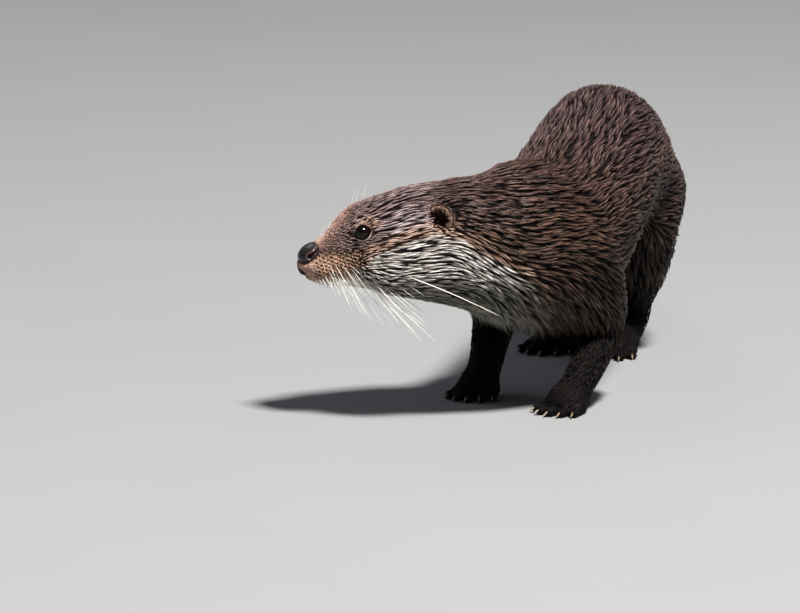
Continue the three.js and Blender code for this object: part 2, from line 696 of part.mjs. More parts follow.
let head = between(surfaceNet(body, ...REGION.head, CELL.head), null, CUTS.neck);
for (const opening of [eye(1, GAP), eye(-1, GAP), ear(1, GAP), ear(-1, GAP), nosePad(GAP)]) {
  head = head.subtract(opening);
}

let neck = between(surfaceNet(body, ...REGION.neck, CELL.neck), CUTS.neck, CUTS.chest);
let torso = surfaceNet(body, ...REGION.torso, CELL.torso);
for (const { cutter } of Object.values(limbs)) {
  torso = torso.subtract(cutter);
  neck = neck.subtract(cutter);
}

// The tail is too thin for the net: its rings are lofted along the last stations of the spine.
const tailRun = smoothRun(SPINE.slice(TAIL.first - 1).map(stationSizes), TAIL.perSpan).slice(TAIL.perSpan);
const tailRings = tailRun.map(([x, y, z, wide, above, below]) => ({ at: [x, y, z], wide, above, below }));
const tail = aboveFloor(loft(tailRings, TAIL.sides));

const PARTS = {
  head: largest(head),
  neck: largest(neck),
  chest: between(torso, CUTS.chest, CUTS.loin),
  loin: between(torso, CUTS.loin, CUTS.rump),
  rump: between(torso, CUTS.rump, CUTS.tail),
  tail_base: between(tail, CUTS.tail, CUTS.tailMiddle),
  tail_middle: between(tail, CUTS.tailMiddle, CUTS.tailTip),
  tail_tip: between(tail, CUTS.tailTip, null),
  eye_left: eye(1),
  eye_right: eye(-1),
  ear_left: ear(1),
  ear_right: ear(-1),
  nose_pad: nosePad(),
};
for (const [name, { leg, foot }] of Object.entries(limbs)) {
  PARTS[name] = leg;
  PARTS[LIMBS[name].footName] = foot;
}

// ---------------------------------------------------------------- materials and the scene graph

const coat = (color) => new THREE.MeshStandardMaterial({ color, roughness: 0.55, metalness: 0 });
const MATERIALS = {
  coat: coat("#4a372b"),
  face: coat("#6b5444"),
  tail: coat("#3f2f25"),
  paw: coat("#33271f"),
  eye: new THREE.MeshStandardMaterial({ color: "#15100d", roughness: 0.08, metalness: 0 }),
  nose: new THREE.MeshStandardMaterial({ color: "#1d1815", roughness: 0.35, metalness: 0 }),
};
const finishOf = (name) => {
  if (name.startsWith("eye")) return MATERIALS.eye;
  if (name === "nose_pad") return MATERIALS.nose;
  if (name === "head" || name.startsWith("ear")) return MATERIALS.face;
  if (name.startsWith("tail")) return MATERIALS.tail;
  if (name.includes("paw") || name.includes("foot")) return MATERIALS.paw;
  return MATERIALS.coat;
};

const otter = new THREE.Group();
for (const [name, made] of Object.entries(PARTS)) {
  const { vertProperties, triVerts, numProp, numVert } = made.getMesh();
  const positions = new Float32Array(numVert * 3);
  for (let i = 0; i < numVert; i++) {
    positions.set(vertProperties.subarray(i * numProp, i * numProp + 3), i * 3);
  }
  const geometry = new THREE.BufferGeometry();
  geometry.setAttribute("position", new THREE.BufferAttribute(positions, 3));
  geometry.setIndex(new THREE.BufferAttribute(triVerts, 1));
  geometry.computeVertexNormals();
  const mesh = new THREE.Mesh(geometry, finishOf(name));
  mesh.name = name;
  otter.add(mesh);
}

// The origin is on the floor under the middle of the model's box.
const box = new THREE.Box3().setFromObject(otter, true);
otter.position.set(-(box.min.x + box.max.x) / 2, -(box.min.y + box.max.y) / 2, -box.min.z);

export default otter;
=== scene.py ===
"""Looks of the river otter, still and life-size: skin, wet coat, eyes, ears, nose, claws and whiskers.

The flesh has the same forms as the solids: ellipses carried along the skull and the spine, tapering tubes
for the limbs and ellipsoids for the muscles, blended softly. Forms are in millimetres in the animal's own
frame, where the trunk runs along +Y and the floor is at z = 0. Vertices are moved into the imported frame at
the end. A form's distance is negative inside, and the skin is where it is minus the coat's depth.
"""

import json
import logging
import math
from collections.abc import Callable, Iterable, Sequence
from dataclasses import dataclass, field, fields
from enum import Enum
from functools import cached_property

import bmesh
import bpy
import numpy as np
from bpy.types import Material, Mesh, Node, NodeSocket, NodeTree, Object, bpy_prop_collection
from mathutils import Matrix, Vector

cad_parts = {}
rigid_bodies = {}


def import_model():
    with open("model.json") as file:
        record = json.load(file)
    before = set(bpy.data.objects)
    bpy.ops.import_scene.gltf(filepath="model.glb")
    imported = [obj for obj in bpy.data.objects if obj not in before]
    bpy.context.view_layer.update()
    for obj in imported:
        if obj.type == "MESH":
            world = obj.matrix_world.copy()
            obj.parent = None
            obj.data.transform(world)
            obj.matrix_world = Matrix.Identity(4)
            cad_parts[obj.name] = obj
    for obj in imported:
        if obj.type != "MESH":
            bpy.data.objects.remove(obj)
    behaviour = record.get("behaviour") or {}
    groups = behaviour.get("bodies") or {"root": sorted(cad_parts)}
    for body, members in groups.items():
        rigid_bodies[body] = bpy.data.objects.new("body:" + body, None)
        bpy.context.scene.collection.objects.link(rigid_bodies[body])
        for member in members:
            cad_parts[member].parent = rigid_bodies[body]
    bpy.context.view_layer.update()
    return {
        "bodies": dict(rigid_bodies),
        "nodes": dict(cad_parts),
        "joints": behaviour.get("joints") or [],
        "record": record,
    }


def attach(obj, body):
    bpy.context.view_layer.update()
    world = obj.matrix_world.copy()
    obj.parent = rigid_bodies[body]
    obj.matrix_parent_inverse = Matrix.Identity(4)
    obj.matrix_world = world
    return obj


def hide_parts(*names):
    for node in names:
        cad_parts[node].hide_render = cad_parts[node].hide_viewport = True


Array = np.ndarray
Triple = tuple[float, float, float]

LOG = logging.getLogger("otter")
MM = 0.001
SEED = 20
UP = np.array([0.0, 0.0, 1.0])
LEVEL = np.array([1.0, 1.0, 0.0])  # times a place: the floor below it
SIDES = {"left": 1, "right": -1}

# ---- the coat's traits


@dataclass(frozen=True)
class Coat:
    """How the hair lies at one place, in mm.

    depth: from the skin to the tips, measured square to the skin.
    length and width: of one wet lock.
    """

    depth: float
    length: float
    width: float

    def row(self) -> list[float]:
        """The three values."""
        return [self.depth, self.length, self.width]


BARE = Coat(0.15, 1.8, 0.8)
SNOUT = Coat(0.6, 3.8, 1.1)
FACE = Coat(1.1, 7.0, 1.6)
CHEEK = Coat(1.7, 12.5, 2.5)
NAPE = Coat(2.2, 14.0, 2.7)
SHOULDER = Coat(2.7, 17.0, 2.9)
TRUNK = Coat(3.0, 20.0, 3.1)
TAIL_ROOT = Coat(2.5, 15.0, 3.2)
TAIL_HAIR = Coat(1.7, 12.0, 2.8)
TAIL_END = Coat(0.8, 8.0, 2.0)
THIGH = Coat(2.4, 14.0, 3.1)
SHANK = Coat(1.3, 8.0, 2.2)
FOOT_HAIR = Coat(0.5, 3.6, 1.4)

# ---- driving dimensions of the flesh


@dataclass(frozen=True)
class Station:
    """A section across the spine: centre, half width, height above and depth below it, and hair."""

    at: Triple
    wide: float
    above: float
    below: float
    coat: Coat

    def row(self) -> list[float]:
        """All values as one row of a run."""
        return [*self.at, self.wide, self.above, self.below, *self.coat.row()]


@dataclass(frozen=True)
class Foot:
    """A foot's palm and toes.

    palm_ahead and palm: the palm's centre past the last joint, and its radii.
    fan and spread: the toes' half angle in degrees, and how far apart their roots are.
    reach: of each toe, from the thumb side.
    """

    palm_ahead: float
    palm: Triple
    fan: float
    spread: float
    reach: tuple[float, ...]
    knuckle: float
    tip: float


@dataclass(frozen=True)
class Limb:
    """A limb with its foot. The radii, hair and places are those of its joints, from the body outwards."""

    name: str
    foot_name: str
    foot: Foot
    joints: tuple[tuple[float, Coat], ...]
    places: tuple[Triple, ...]

    def rows(self) -> list[list[float]]:
        """The joints as rows of a run: place, radius and the coat's traits."""
        return [[*place, radius, *coat.row()] for place, (radius, coat) in zip(self.places, self.joints)]


NOSE_TIP = np.array([-164.0, -105.0, 119.0])
HEADING = math.radians(18)  # of the skull, from +X
RISE = math.radians(5.7)  # of the skull, from nose to nape

# Distance behind the nose, half width, height above and depth below the skull's axis, hair.
SKULL = (
    (9, 9, 8.5, 13.5, BARE),
    (15, 13, 11.5, 16, BARE),
    (23, 20, 17, 20, SNOUT),
    (31, 24.5, 26, 23.5, SNOUT),
    (40, 27, 32.5, 26.5, FACE),
    (50, 31, 36.5, 28.5, FACE),
    (64, 37.5, 39, 31, CHEEK),
    (80, 42, 40, 34, CHEEK),
    (98, 44, 39.5, 39, CHEEK),
    (118, 45, 40, 44, NAPE),
)
SKULL_SQUARENESS = 2.25
SNOUT_BLUNTNESS = 0.6

SPINE = (
    Station((-73, -76, 129), 44, 40, 41, NAPE),
    Station((-49, -65, 127), 47, 48, 46, NAPE),
    Station((-22, -45, 123), 52, 62, 53, SHOULDER),
    Station((0, 0, 118), 55, 66, 59, SHOULDER),
    Station((8, 69, 140), 54, 59, 57, TRUNK),
    Station((11, 146, 160), 50, 58, 55, TRUNK),
    Station((6, 222, 136), 50, 58, 52, TRUNK),
    Station((-1, 283, 97), 42, 46, 44, TRUNK),
    Station((-8, 328, 66), 31, 30, 29, TAIL_ROOT),
    Station((-14, 380, 38), 24, 22, 21, TAIL_HAIR),
    Station((-26, 440, 20), 19, 16, 16, TAIL_HAIR),
    Station((-44, 520, 12), 15.5, 13, 13, TAIL_HAIR),
    Station((-68, 600, 8.7), 11, 9.5, 9.5, TAIL_END),
    Station((-98, 672, 4.5), 5.5, 5, 5, TAIL_END),
    Station((-104, 685, 2), 2.6, 2.4, 2.4, BARE),
)

FOREPAW = Foot(3, (16, 15, 9.5), 19, 22, (17, 22, 24, 22.5, 18), 5.0, 3.9)
HINDFOOT = Foot(4, (21, 15, 9.5), 18, 23, (20, 29, 33, 31, 25), 5.3, 4.1)

FORELEG = ((32, SHOULDER), (26, THIGH), (17.5, THIGH), (14, SHANK), (12.5, SHANK), (12, FOOT_HAIR))
HINDLEG = ((34, TRUNK), (27, THIGH), (18, THIGH), (12.5, SHANK), (12, SHANK), *((12, FOOT_HAIR),) * 2)

LIMBS = (
    Limb("foreleg_left", "forepaw_left", FOREPAW, FORELEG, (
        (22, -20, 108), (34, -2, 80), (38, 10, 56), (36, -10, 38), (31, -29, 23), (25, -41, 12),
    )),
    Limb("foreleg_right", "forepaw_right", FOREPAW, FORELEG, (
        (-34, 6, 108), (-44, 30, 80), (-49, 46, 56), (-50, 30, 38), (-50, 14, 23), (-52, 2, 12),
    )),
    Limb("hindleg_left", "hindfoot_left", HINDFOOT, HINDLEG, (
        (26, 232, 122), (33, 208, 92), (31, 218, 62), (23, 242, 38), (19, 246, 20), (17, 222, 12),
        (15, 198, 11),
    )),
    Limb("hindleg_right", "hindfoot_right", HINDFOOT, HINDLEG, (
        (-24, 236, 122), (-35, 216, 92), (-37, 228, 62), (-33, 252, 38), (-31, 256, 20), (-33, 232, 12),
        (-36, 208, 11),
    )),
)

# Muscles on the trunk: centre and radii. Forms of the head: back, left, up and radii in the head's frame.
HAUNCHES = (((25, 232, 118), (27, 44, 46)), ((-28, 236, 116), (25, 44, 48)))
HEAD_FORMS = (
    ((20, 11, -8), (15, 12.5, 11)),  # whisker pads
    ((20, -11, -8), (15, 12.5, 11)),
    ((12, 0, -9.2), (12.8, 9, 8)),  # upper lip below the nose
    ((7, 0, -4.5), (7.2, 6.5, 5)),  # bridge between lip and nose
    ((24, 0, -13), (14, 11, 8.5)),  # chin
    ((76, 26, -10), (34, 20, 23)),  # jowls
    ((76, -26, -10), (34, 20, 23)),
)

SOFT_LIMB, SOFT_MUSCLE, SOFT_HEAD, SOFT_NECK, SOFT_PALM, SOFT_TOE = 14.0, 16.0, 8.0, 14.0, 8.0, 3.0
SUNK = 1.0  # how far the soles are sunk below the floor before they are cut flat
FAR = 60.0  # stands for any distance too great to matter
MIX_REACH = 7.0  # a form's say in the coat falls by e over this distance
HEAD_SHARE = 0.22  # the head's part of the way from nose to tail tip, in a survey's progress
COARSE = 4  # spacing of the rough lattice, in cells of the fine one
BLOCK = 30_000  # points that are surveyed at once
MOST_TRIANGLES = 199_000  # in one piece
HAIR_OFF_FLOOR = 0.4  # in mm: hair is pressed flat by the floor

# Places of the features of the face, in the head's frame.
SOCKET_REACH = 12.0  # how far along its axis an opening acts, which keeps it to its own side
EYE_AT, EYE_RADIUS = (46.8, 23.6, 16.8), 6.2
GAZE = (-0.12, 0.95, 0.17)
EYE_OPENING = 5.35
EAR_AT, EAR_RADIUS, EAR_DEPTH, EAR_WALL, EAR_HEIGHT = (103.0, 38.0, 23.0), 10.4, 8.0, 1.8, 0.88
EAR_MOUTH = (-math.cos(math.radians(62)), math.sin(math.radians(62)), 0.1)
EAR_LEAN = (0.23, 0.25, 1.0)
SPOT_ROWS, SPOT_STEP = 2.5, 3.3  # spacing of the pads' rows of spots, and of the spots along them
NOSE_AT = (8.8, 0.0, 1.8)
NOSE_TILT = math.radians(25)  # of the pad, up towards the back
NOSE_AXES = np.array([
    [math.cos(NOSE_TILT), 0, math.sin(NOSE_TILT)],
    [0, 1, 0],
    [-math.sin(NOSE_TILT), 0, math.cos(NOSE_TILT)],
])

# ---- small vector helpers


def unit(vectors: Array) -> Array:
    """Vectors of length one, along the last axis."""
    return vectors / np.maximum(np.linalg.norm(vectors, axis=-1, keepdims=True), 1e-9)


def lengths(vectors: Array) -> Array:
    """Their lengths, along the last axis."""
    return np.linalg.norm(vectors, axis=-1)


def ramp(low: float, high: float, values: Array) -> Array:
    """0 below low and 1 above high, with the cubic 3t^2 - 2t^3 between."""
    t = np.clip((values - low) / (high - low), 0, 1)
    return t * t * (3 - 2 * t)


def smooth_min(one: Array, other: Array, softness: float) -> Array:
    """The lesser of two distances, and less than it where they differ by less than softness."""
    share = np.maximum(softness - np.abs(one - other), 0) / softness
    return np.minimum(one, other) - share * share * softness / 4


def bell(distance: Array, width: float) -> Array:
    """exp(-(distance / width)^2), which is 1 at no distance."""
    return np.exp(-((distance / width) ** 2))


def smooth_noise(points: Array, size: float, seed: int) -> Array:
    """Noise from -1 to 1 in blobs about size across: random values on a lattice, mixed smoothly.

    Args:
        points: (n, 3) places.
        size: spacing of the lattice.
        seed: picks the random values.

    Returns:
        (n,) values.
    """
    values = np.random.default_rng(seed).uniform(-1, 1, 4096)
    cell = np.floor(points / size).astype(np.int64)
    part = points / size - cell
    part = part * part * (3 - 2 * part)
    total = np.zeros(len(points))
    for corner in range(8):
        step = np.array([corner & 1, (corner >> 1) & 1, corner >> 2])
        key = ((cell + step) * np.array([73856093, 19349663, 83492791])).sum(1) & 4095
        total += values[key] * np.prod(np.where(step, part, 1 - part), axis=1)
    return total


# ---- the head's frame


@dataclass(frozen=True)
class HeadFrame:
    """Back along the skull, left and up across it, from the tip of the nose."""

    origin: Array

    @cached_property
    def axes(self) -> Array:
        """Rows: back, left and up, in the animal's frame."""
        level = math.cos(RISE)
        back = np.array([math.cos(HEADING) * level, math.sin(HEADING) * level, math.sin(RISE)])
        left = unit(np.cross(back, UP))
        return np.array([back, left, np.cross(left, back)])

    def point(self, parts: Sequence[float], side: int = 1) -> Array:
        """A place in the animal's frame, mirrored for the right side."""
        back, left, up = parts
        return self.origin + np.array([back, left * side, up]) @ self.axes

    def vector(self, parts: Sequence[float], side: int = 1) -> Array:
        """A unit direction in the animal's frame, mirrored for the right side."""
        back, left, up = parts
        return unit(np.array([back, left * side, up]) @ self.axes)

    def local(self, points: Array) -> Array:
        """(n, 3) of back, left and up."""
        return (points - self.origin) @ self.axes.T


HEAD = HeadFrame(NOSE_TIP)

# ---- forms


@dataclass(frozen=True)
class Survey:
    """What a form says of points: distance, the way to the tail or toes, and the coat's traits.

    progress runs from 0 at the form's start to 1 at its end, and turn from 0 to 1 round it.
    """

    distance: Array
    lie: Array
    coat: Array
    progress: Array
    turn: Array


@dataclass(frozen=True)
class Run:
    """Rows of place and other values along a smooth line."""

    rows: Array

    @classmethod
    def through(cls, stations: Iterable[Sequence[float]], per_span: int) -> "Run":
        """Rounds rows into a run by the Catmull-Rom formula, each column on its own.

        Args:
            stations: the rows it passes through.
            per_span: pieces between two stations.

        Returns:
            The run.
        """
        rows = np.array(list(stations), float)
        before, after = np.vstack([rows[:1], rows[:-1]]), np.vstack([rows[1:], rows[-1:]])
        a, b, c, d = (x[:-1, None] for x in (before, rows, after, np.vstack([after[1:], rows[-1:]])))
        t = (np.arange(per_span) / per_span)[None, :, None]
        curve = 2 * b + (c - a) * t + (2 * a - 5 * b + 4 * c - d) * t**2
        curve = curve + (3 * b - a - 3 * c + d) * t**3
        return cls(np.vstack([0.5 * curve.reshape(-1, rows.shape[1]), rows[-1:]]))

    @cached_property
    def along(self) -> Array:
        """Each span as a vector."""
        return np.diff(self.rows[:, :3], axis=0)

    @cached_property
    def tangents(self) -> Array:
        """Unit tangents at the rows: the mean of the spans on both sides."""
        spans = self.along
        return unit(np.vstack([spans[:1], spans]) + np.vstack([spans, spans[-1:]]))

    def shares(self, points: Array) -> tuple[Array, Array]:
        """The nearest place on each span, for each point.

        Args:
            points: (n, 3) in mm.

        Returns:
            How far along the span it is, from 0 to 1, and its squared distance.
        """
        start, along = self.rows[:-1, :3], self.along
        squared = (along**2).sum(1)
        reach = points @ along.T - (start * along).sum(1)
        share = np.clip(reach / squared, 0, 1)
        gap = (points**2).sum(1)[:, None] - 2 * points @ start.T + (start**2).sum(1)
        return share, np.maximum(gap - 2 * share * reach + share**2 * squared, 0)

    def reading(self, span: Array, share: Array) -> tuple[Array, Array, Array]:
        """Values at a share of each span.

        Args:
            span: number of the span.
            share: from 0 to 1.

        Returns:
            Rows, unit tangents and progress along the run.
        """
        rows, tangents = (
            values[span] * (1 - share[:, None]) + values[span + 1] * share[:, None]
            for values in (self.rows, self.tangents)
        )
        return rows, unit(tangents), (span + share) / (len(self.rows) - 1)


class Form:
    """A form that says of points how far they are from it, and how the coat lies there."""

    def survey(self, points: Array) -> Survey:
        """Surveys points block by block, and joins the answers.

        Args:
            points: (n, 3) in mm.

        Returns:
            The survey.
        """
        starts = range(0, max(len(points), 1), BLOCK)
        parts = [self.block(points[start : start + BLOCK]) for start in starts]
        columns = [[getattr(part, entry.name) for part in parts] for entry in fields(Survey)]
        return Survey(*(np.concatenate(column) for column in columns))

    def block(self, points: Array) -> Survey:
        """Surveys one block of points."""
        raise NotImplementedError


@dataclass(frozen=True)
class Swept(Form):
    """Superellipses carried along a run with their side axis level, rounded off past its ends.

    power: 2 gives ellipses, and more gives squarer sections.
    bluntness: length of the rounding past the ends, over the section's lesser half.
    """

    run: Run
    power: float = 2.0
    bluntness: float = 1.0

    def block(self, points: Array) -> Survey:
        """Distance along the ray from the centre of the nearest section to its edge, and the rest.

        Args:
            points: (n, 3) in mm.

        Returns:
            The survey.
        """
        share, squared = self.run.shares(points)
        span = squared.argmin(1)
        share = share[np.arange(len(points)), span]
        rows, tangent, progress = self.run.reading(span, share)
        side = unit(np.cross(tangent, UP))
        off = points - rows[:, :3]
        across, beyond = (off * side).sum(1), (off * tangent).sum(1)
        upward = (off * np.cross(side, tangent)).sum(1)
        wide = rows[:, 3]
        high = np.where(upward > 0, rows[:, 4], rows[:, 5])
        power = self.power
        edge = (np.abs(across / wide) ** power + np.abs(upward / high) ** power) ** (1 / power)
        least = np.minimum(wide, high)
        k = np.hypot(edge, beyond / (self.bluntness * least))
        distance = np.where(k < 1e-6, -least, lengths(off) * (1 - 1 / np.maximum(k, 1e-6)))
        turn = np.arctan2(across, upward) / (2 * math.pi) + 0.5
        return Survey(distance, tangent, rows[:, 6:9], progress, turn)


@dataclass(frozen=True)
class Tube(Form):
    """A round tube whose radius changes along a run."""

    run: Run

    def block(self, points: Array) -> Survey:
        """Distance to the nearest span less its radius there, and the rest.

        Args:
            points: (n, 3) in mm.

        Returns:
            The survey.
        """
        share, squared = self.run.shares(points)
        radii = self.run.rows[:, 3]
        gaps = np.sqrt(squared) - (radii[:-1] * (1 - share) + radii[1:] * share)
        span = gaps.argmin(1)
        every = np.arange(len(points))
        share = share[every, span]
        rows, tangent, progress = self.run.reading(span, share)
        off = points - rows[:, :3]
        front = unit(np.cross(tangent, [1.0, 0.0, 0.0]))
        angle = np.arctan2((off * np.cross(tangent, front)).sum(1), (off * front).sum(1))
        return Survey(gaps[every, span], tangent, rows[:, 4:7], progress, angle / (2 * math.pi) + 0.5)


@dataclass(frozen=True)
class Ellipsoid:
    """An ellipsoid with its own axes as rows."""

    at: Array
    radii: Array
    axes: Array = field(default_factory=lambda: np.eye(3))

    def distance(self, points: Array) -> Array:
        """Distance along the ray from the centre."""
        off = points - self.at
        k = np.maximum(lengths(off @ self.axes.T / self.radii), 1e-6)
        return lengths(off) * (1 - 1 / k)


# ---- feet


@dataclass(frozen=True)
class FootFrame:
    """Where a limb's foot lies: its last joint, and the level directions ahead and across."""

    limb: Limb

    @cached_property
    def end(self) -> Array:
        """The last joint."""
        return np.array(self.limb.places[-1], float)

    @cached_property
    def ahead(self) -> Array:
        """The way the foot points: level, along the last two joints."""
        step = self.end - np.array(self.limb.places[-2], float)
        return unit(step * LEVEL)

    @cached_property
    def across(self) -> Array:
        """Level, square to ahead."""
        return np.cross(self.ahead, UP)

    @property
    def axes(self) -> Array:
        """Rows: ahead, across and up."""
        return np.array([self.ahead, self.across, UP])

    def toe(self, number: int) -> tuple[Array, Array, float]:
        """Root, direction and reach of a toe.

        Args:
            number: 0 to 4.

        Returns:
            Its root on the floor, its level direction and its reach.
        """
        foot = self.limb.foot
        place = number / 2 - 1
        angle = -place * math.radians(foot.fan)
        root = (self.end + self.across * place * foot.spread / 2) * LEVEL
        along = self.ahead * math.cos(angle) + np.cross(UP, self.ahead) * math.sin(angle)
        return root, along, foot.reach[number]

    def claw(self, number: int) -> tuple[Array, Array]:
        """Root and point of a claw, on top of the end of its toe."""
        root, along, reach = self.toe(number)
        tip = self.limb.foot.tip
        return root + along * reach * 0.9 + UP * tip * 1.25, root + along * (reach * 1.1 + 5.5) + UP * 1.2

    @cached_property
    def toes(self) -> list[Tube]:
        """Each toe as a low arch: over the knuckle and down to the tip."""
        foot = self.limb.foot
        made = []
        for number in range(5):
            root, along, reach = self.toe(number)
            spots = ((0.05, 6.5, foot.knuckle), (0.55, foot.knuckle * 0.95, foot.knuckle * 0.86))
            spots += ((0.8, foot.tip * 0.9, foot.tip * 0.86), (1.0, foot.tip * 0.8, foot.tip * 0.95))
            rows = []
            for share, level, radius in spots:
                rows.append([*(root + along * reach * share + UP * level), radius, 0, 0, 0])
            made.append(Tube(Run.through(rows, 3)))
        return made

    def toes_distance(self, points: Array) -> Array:
        """The toes and the web between them, blended.

        Args:
            points: (n, 3) in mm.

        Returns:
            (n,) distances.
        """
        toes = self.web.distance(points)
        for toe in self.toes:
            toes = smooth_min(toes, toe.survey(points).distance, SOFT_TOE)
        return toes

    @cached_property
    def palm(self) -> Ellipsoid:
        """The flat round pad under the palm."""
        foot = self.limb.foot
        centre = self.end + self.ahead * foot.palm_ahead
        centre = centre * LEVEL + UP * (foot.palm[2] - SUNK)
        return Ellipsoid(centre, np.array(foot.palm), self.axes)

    @cached_property
    def web(self) -> Ellipsoid:
        """The thin skin between the toes."""
        foot = self.limb.foot
        reach = foot.reach[2]
        centre = self.end * LEVEL + self.ahead * reach * 0.34 + UP * 2.6
        radii = np.array([reach * 0.42, foot.spread * 0.66, 2.8])
        return Ellipsoid(centre, radii, self.axes)


# ---- the whole body


class Mixture:
    """Sums of the lie and the coat's traits that forms give to points, the nearer the form the more."""

    def __init__(self, count: int) -> None:
        """Starts empty, for count points."""
        self.lie, self.coat, self.total = np.zeros((count, 3)), np.zeros((count, 3)), np.zeros(count)

    def add(self, where: Array | slice, form: Survey, distance: Array) -> None:
        """Adds what one form says, with a weight of e to the power of minus distance over MIX_REACH.

        Args:
            where: which of the points it says it of.
            form: its survey of them.
            distance: from them to it, or to what it is blended with.
        """
        weight = np.exp(-np.clip(distance, -12, 80) / MIX_REACH)
        self.lie[where] += form.lie * weight[:, None]
        self.coat[where] += form.coat * weight[:, None]
        self.total[where] += weight


class Flesh:
    """The outline of the lying coat, as blended forms, with the coat's traits and the way it lies."""

    def __init__(self) -> None:
        """Makes the forms from the driving dimensions."""
        skull = [[*HEAD.point((back, 0, 0)), *section, *coat.row()] for back, *section, coat in SKULL]
        self.skull = Swept(Run.through(skull, 6), SKULL_SQUARENESS, SNOUT_BLUNTNESS)
        self.spine = Swept(Run.through([s.row() for s in SPINE], 6))
        self.limbs = [Tube(Run.through(limb.rows(), 5)) for limb in LIMBS]
        self.feet = [FootFrame(limb) for limb in LIMBS]
        self.head_forms = [
            Ellipsoid(HEAD.point(at), np.array(radii), HEAD.axes) for at, radii in HEAD_FORMS
        ]
        self.haunches = [Ellipsoid(np.array(at, float), np.array(radii)) for at, radii in HAUNCHES]

    def _near(self, tube: Tube, points: Array, margin: float = 30.0) -> Array:
        """Which points are in the box of a tube.

        Args:
            tube: the tube.
            points: (n, 3) in mm.
            margin: that the box is grown by.

        Returns:
            (n,) yes or no.
        """
        rows = tube.run.rows
        low = (rows[:, :3] - rows[:, 3:4]).min(0) - margin
        high = (rows[:, :3] + rows[:, 3:4]).max(0) + margin
        return np.all((points > low) & (points < high), axis=1)

    def survey(self, points: Array) -> Survey:
        """Blends what the forms say, each by how near it is.

        Args:
            points: (n, 3) in mm.

        Returns:
            The blended survey. progress and turn are those of head and spine, as one run.
        """
        spine = self.spine.survey(points)
        trunk = spine.distance
        for haunch in self.haunches:
            trunk = smooth_min(trunk, haunch.distance(points), SOFT_MUSCLE)
        mixture = Mixture(len(points))
        mixture.add(slice(None), spine, spine.distance)
        for tube, foot in zip(self.limbs, self.feet):
            near = self._near(tube, points)
            if not near.any():
                continue
            close = points[near]
            limb = tube.survey(close)
            whole = smooth_min(limb.distance, foot.palm.distance(close), SOFT_PALM)
            whole = smooth_min(whole, foot.toes_distance(close), SOFT_TOE)
            trunk[near] = smooth_min(trunk[near], whole, SOFT_LIMB)
            mixture.add(near, limb, whole)
        head = np.full(len(points), FAR)
        progress, turn = HEAD_SHARE + (1 - HEAD_SHARE) * spine.progress, spine.turn.copy()
        near = HEAD.local(points)[:, 0] < 165
        if near.any():
            close = points[near]
            skull = self.skull.survey(close)
            shape = skull.distance
            for form in self.head_forms:
                shape = smooth_min(shape, form.distance(close), SOFT_HEAD)
            head[near] = shape
            mixture.add(near, skull, shape)
            before = shape < trunk[near]
            first = near.copy()
            first[near] = before
            progress[first] = HEAD_SHARE * skull.progress[before]
            turn[first] = skull.turn[before]
        total = mixture.total[:, None]
        distance = smooth_min(head, trunk, SOFT_NECK)
        return Survey(distance, mixture.lie / total, mixture.coat / total, progress, turn)

    def skin_distance(self, points: Array) -> Array:
        """Distance to the skin: the outline drawn in by the coat's depth, and cut flat at the floor."""
        survey = self.survey(points)
        inner = survey.distance + survey.coat[:, 0]
        return -smooth_min(-inner, points[:, 2], 0.6)

    def slope(self, points: Array, step: float = 0.25) -> tuple[Array, Array]:
        """Distance to the skin and its gradient, by forward differences."""
        here = self.skin_distance(points)
        rises = [(self.skin_distance(points + step * axis) - here) / step for axis in np.eye(3)]
        return here, np.stack(rises, axis=1)

    def settle(self, points: Array, rounds: int = 2, most: float = 2.5) -> tuple[Array, Array]:
        """Moves points onto the skin by Newton's method.

        Args:
            points: places near the skin.
            rounds: number of steps.
            most: longest step.

        Returns:
            The places on the skin, and the unit normals there.
        """
        gradient = np.zeros_like(points)
        for _ in range(rounds):
            here, gradient = self.slope(points)
            steep = np.maximum((gradient**2).sum(1), 0.2)
            points = points - gradient * np.clip(here / steep, -most, most)[:, None]
        return points, unit(gradient)


# ---- meshing


def lattice_values(
    distance: Callable[[Array], Array], low: Array, shape: Array, cell: float
) -> Array:
    """Distances at the nodes of a lattice: filled from a coarser one, and exact near the surface only.

    Args:
        distance: negative inside.
        low: lowest corner.
        shape: number of nodes along each axis.
        cell: spacing.

    Returns:
        A value for every node.
    """
    grids = np.meshgrid(*(low[i] + cell * np.arange(0, shape[i], COARSE) for i in range(3)), indexing="ij")
    value = distance(np.stack([g.ravel() for g in grids], axis=1)).reshape(grids[0].shape)
    for axis in range(3):
        place = np.arange(shape[axis]) / COARSE
        first = np.minimum(place.astype(int), value.shape[axis] - 2)
        part = (place - first).reshape([-1 if i == axis else 1 for i in range(3)])
        value = value.take(first, axis) * (1 - part) + value.take(first + 1, axis) * part
    near = np.abs(value) < COARSE * cell * 1.9
    value[near] = distance(low + cell * np.argwhere(near))
    return value


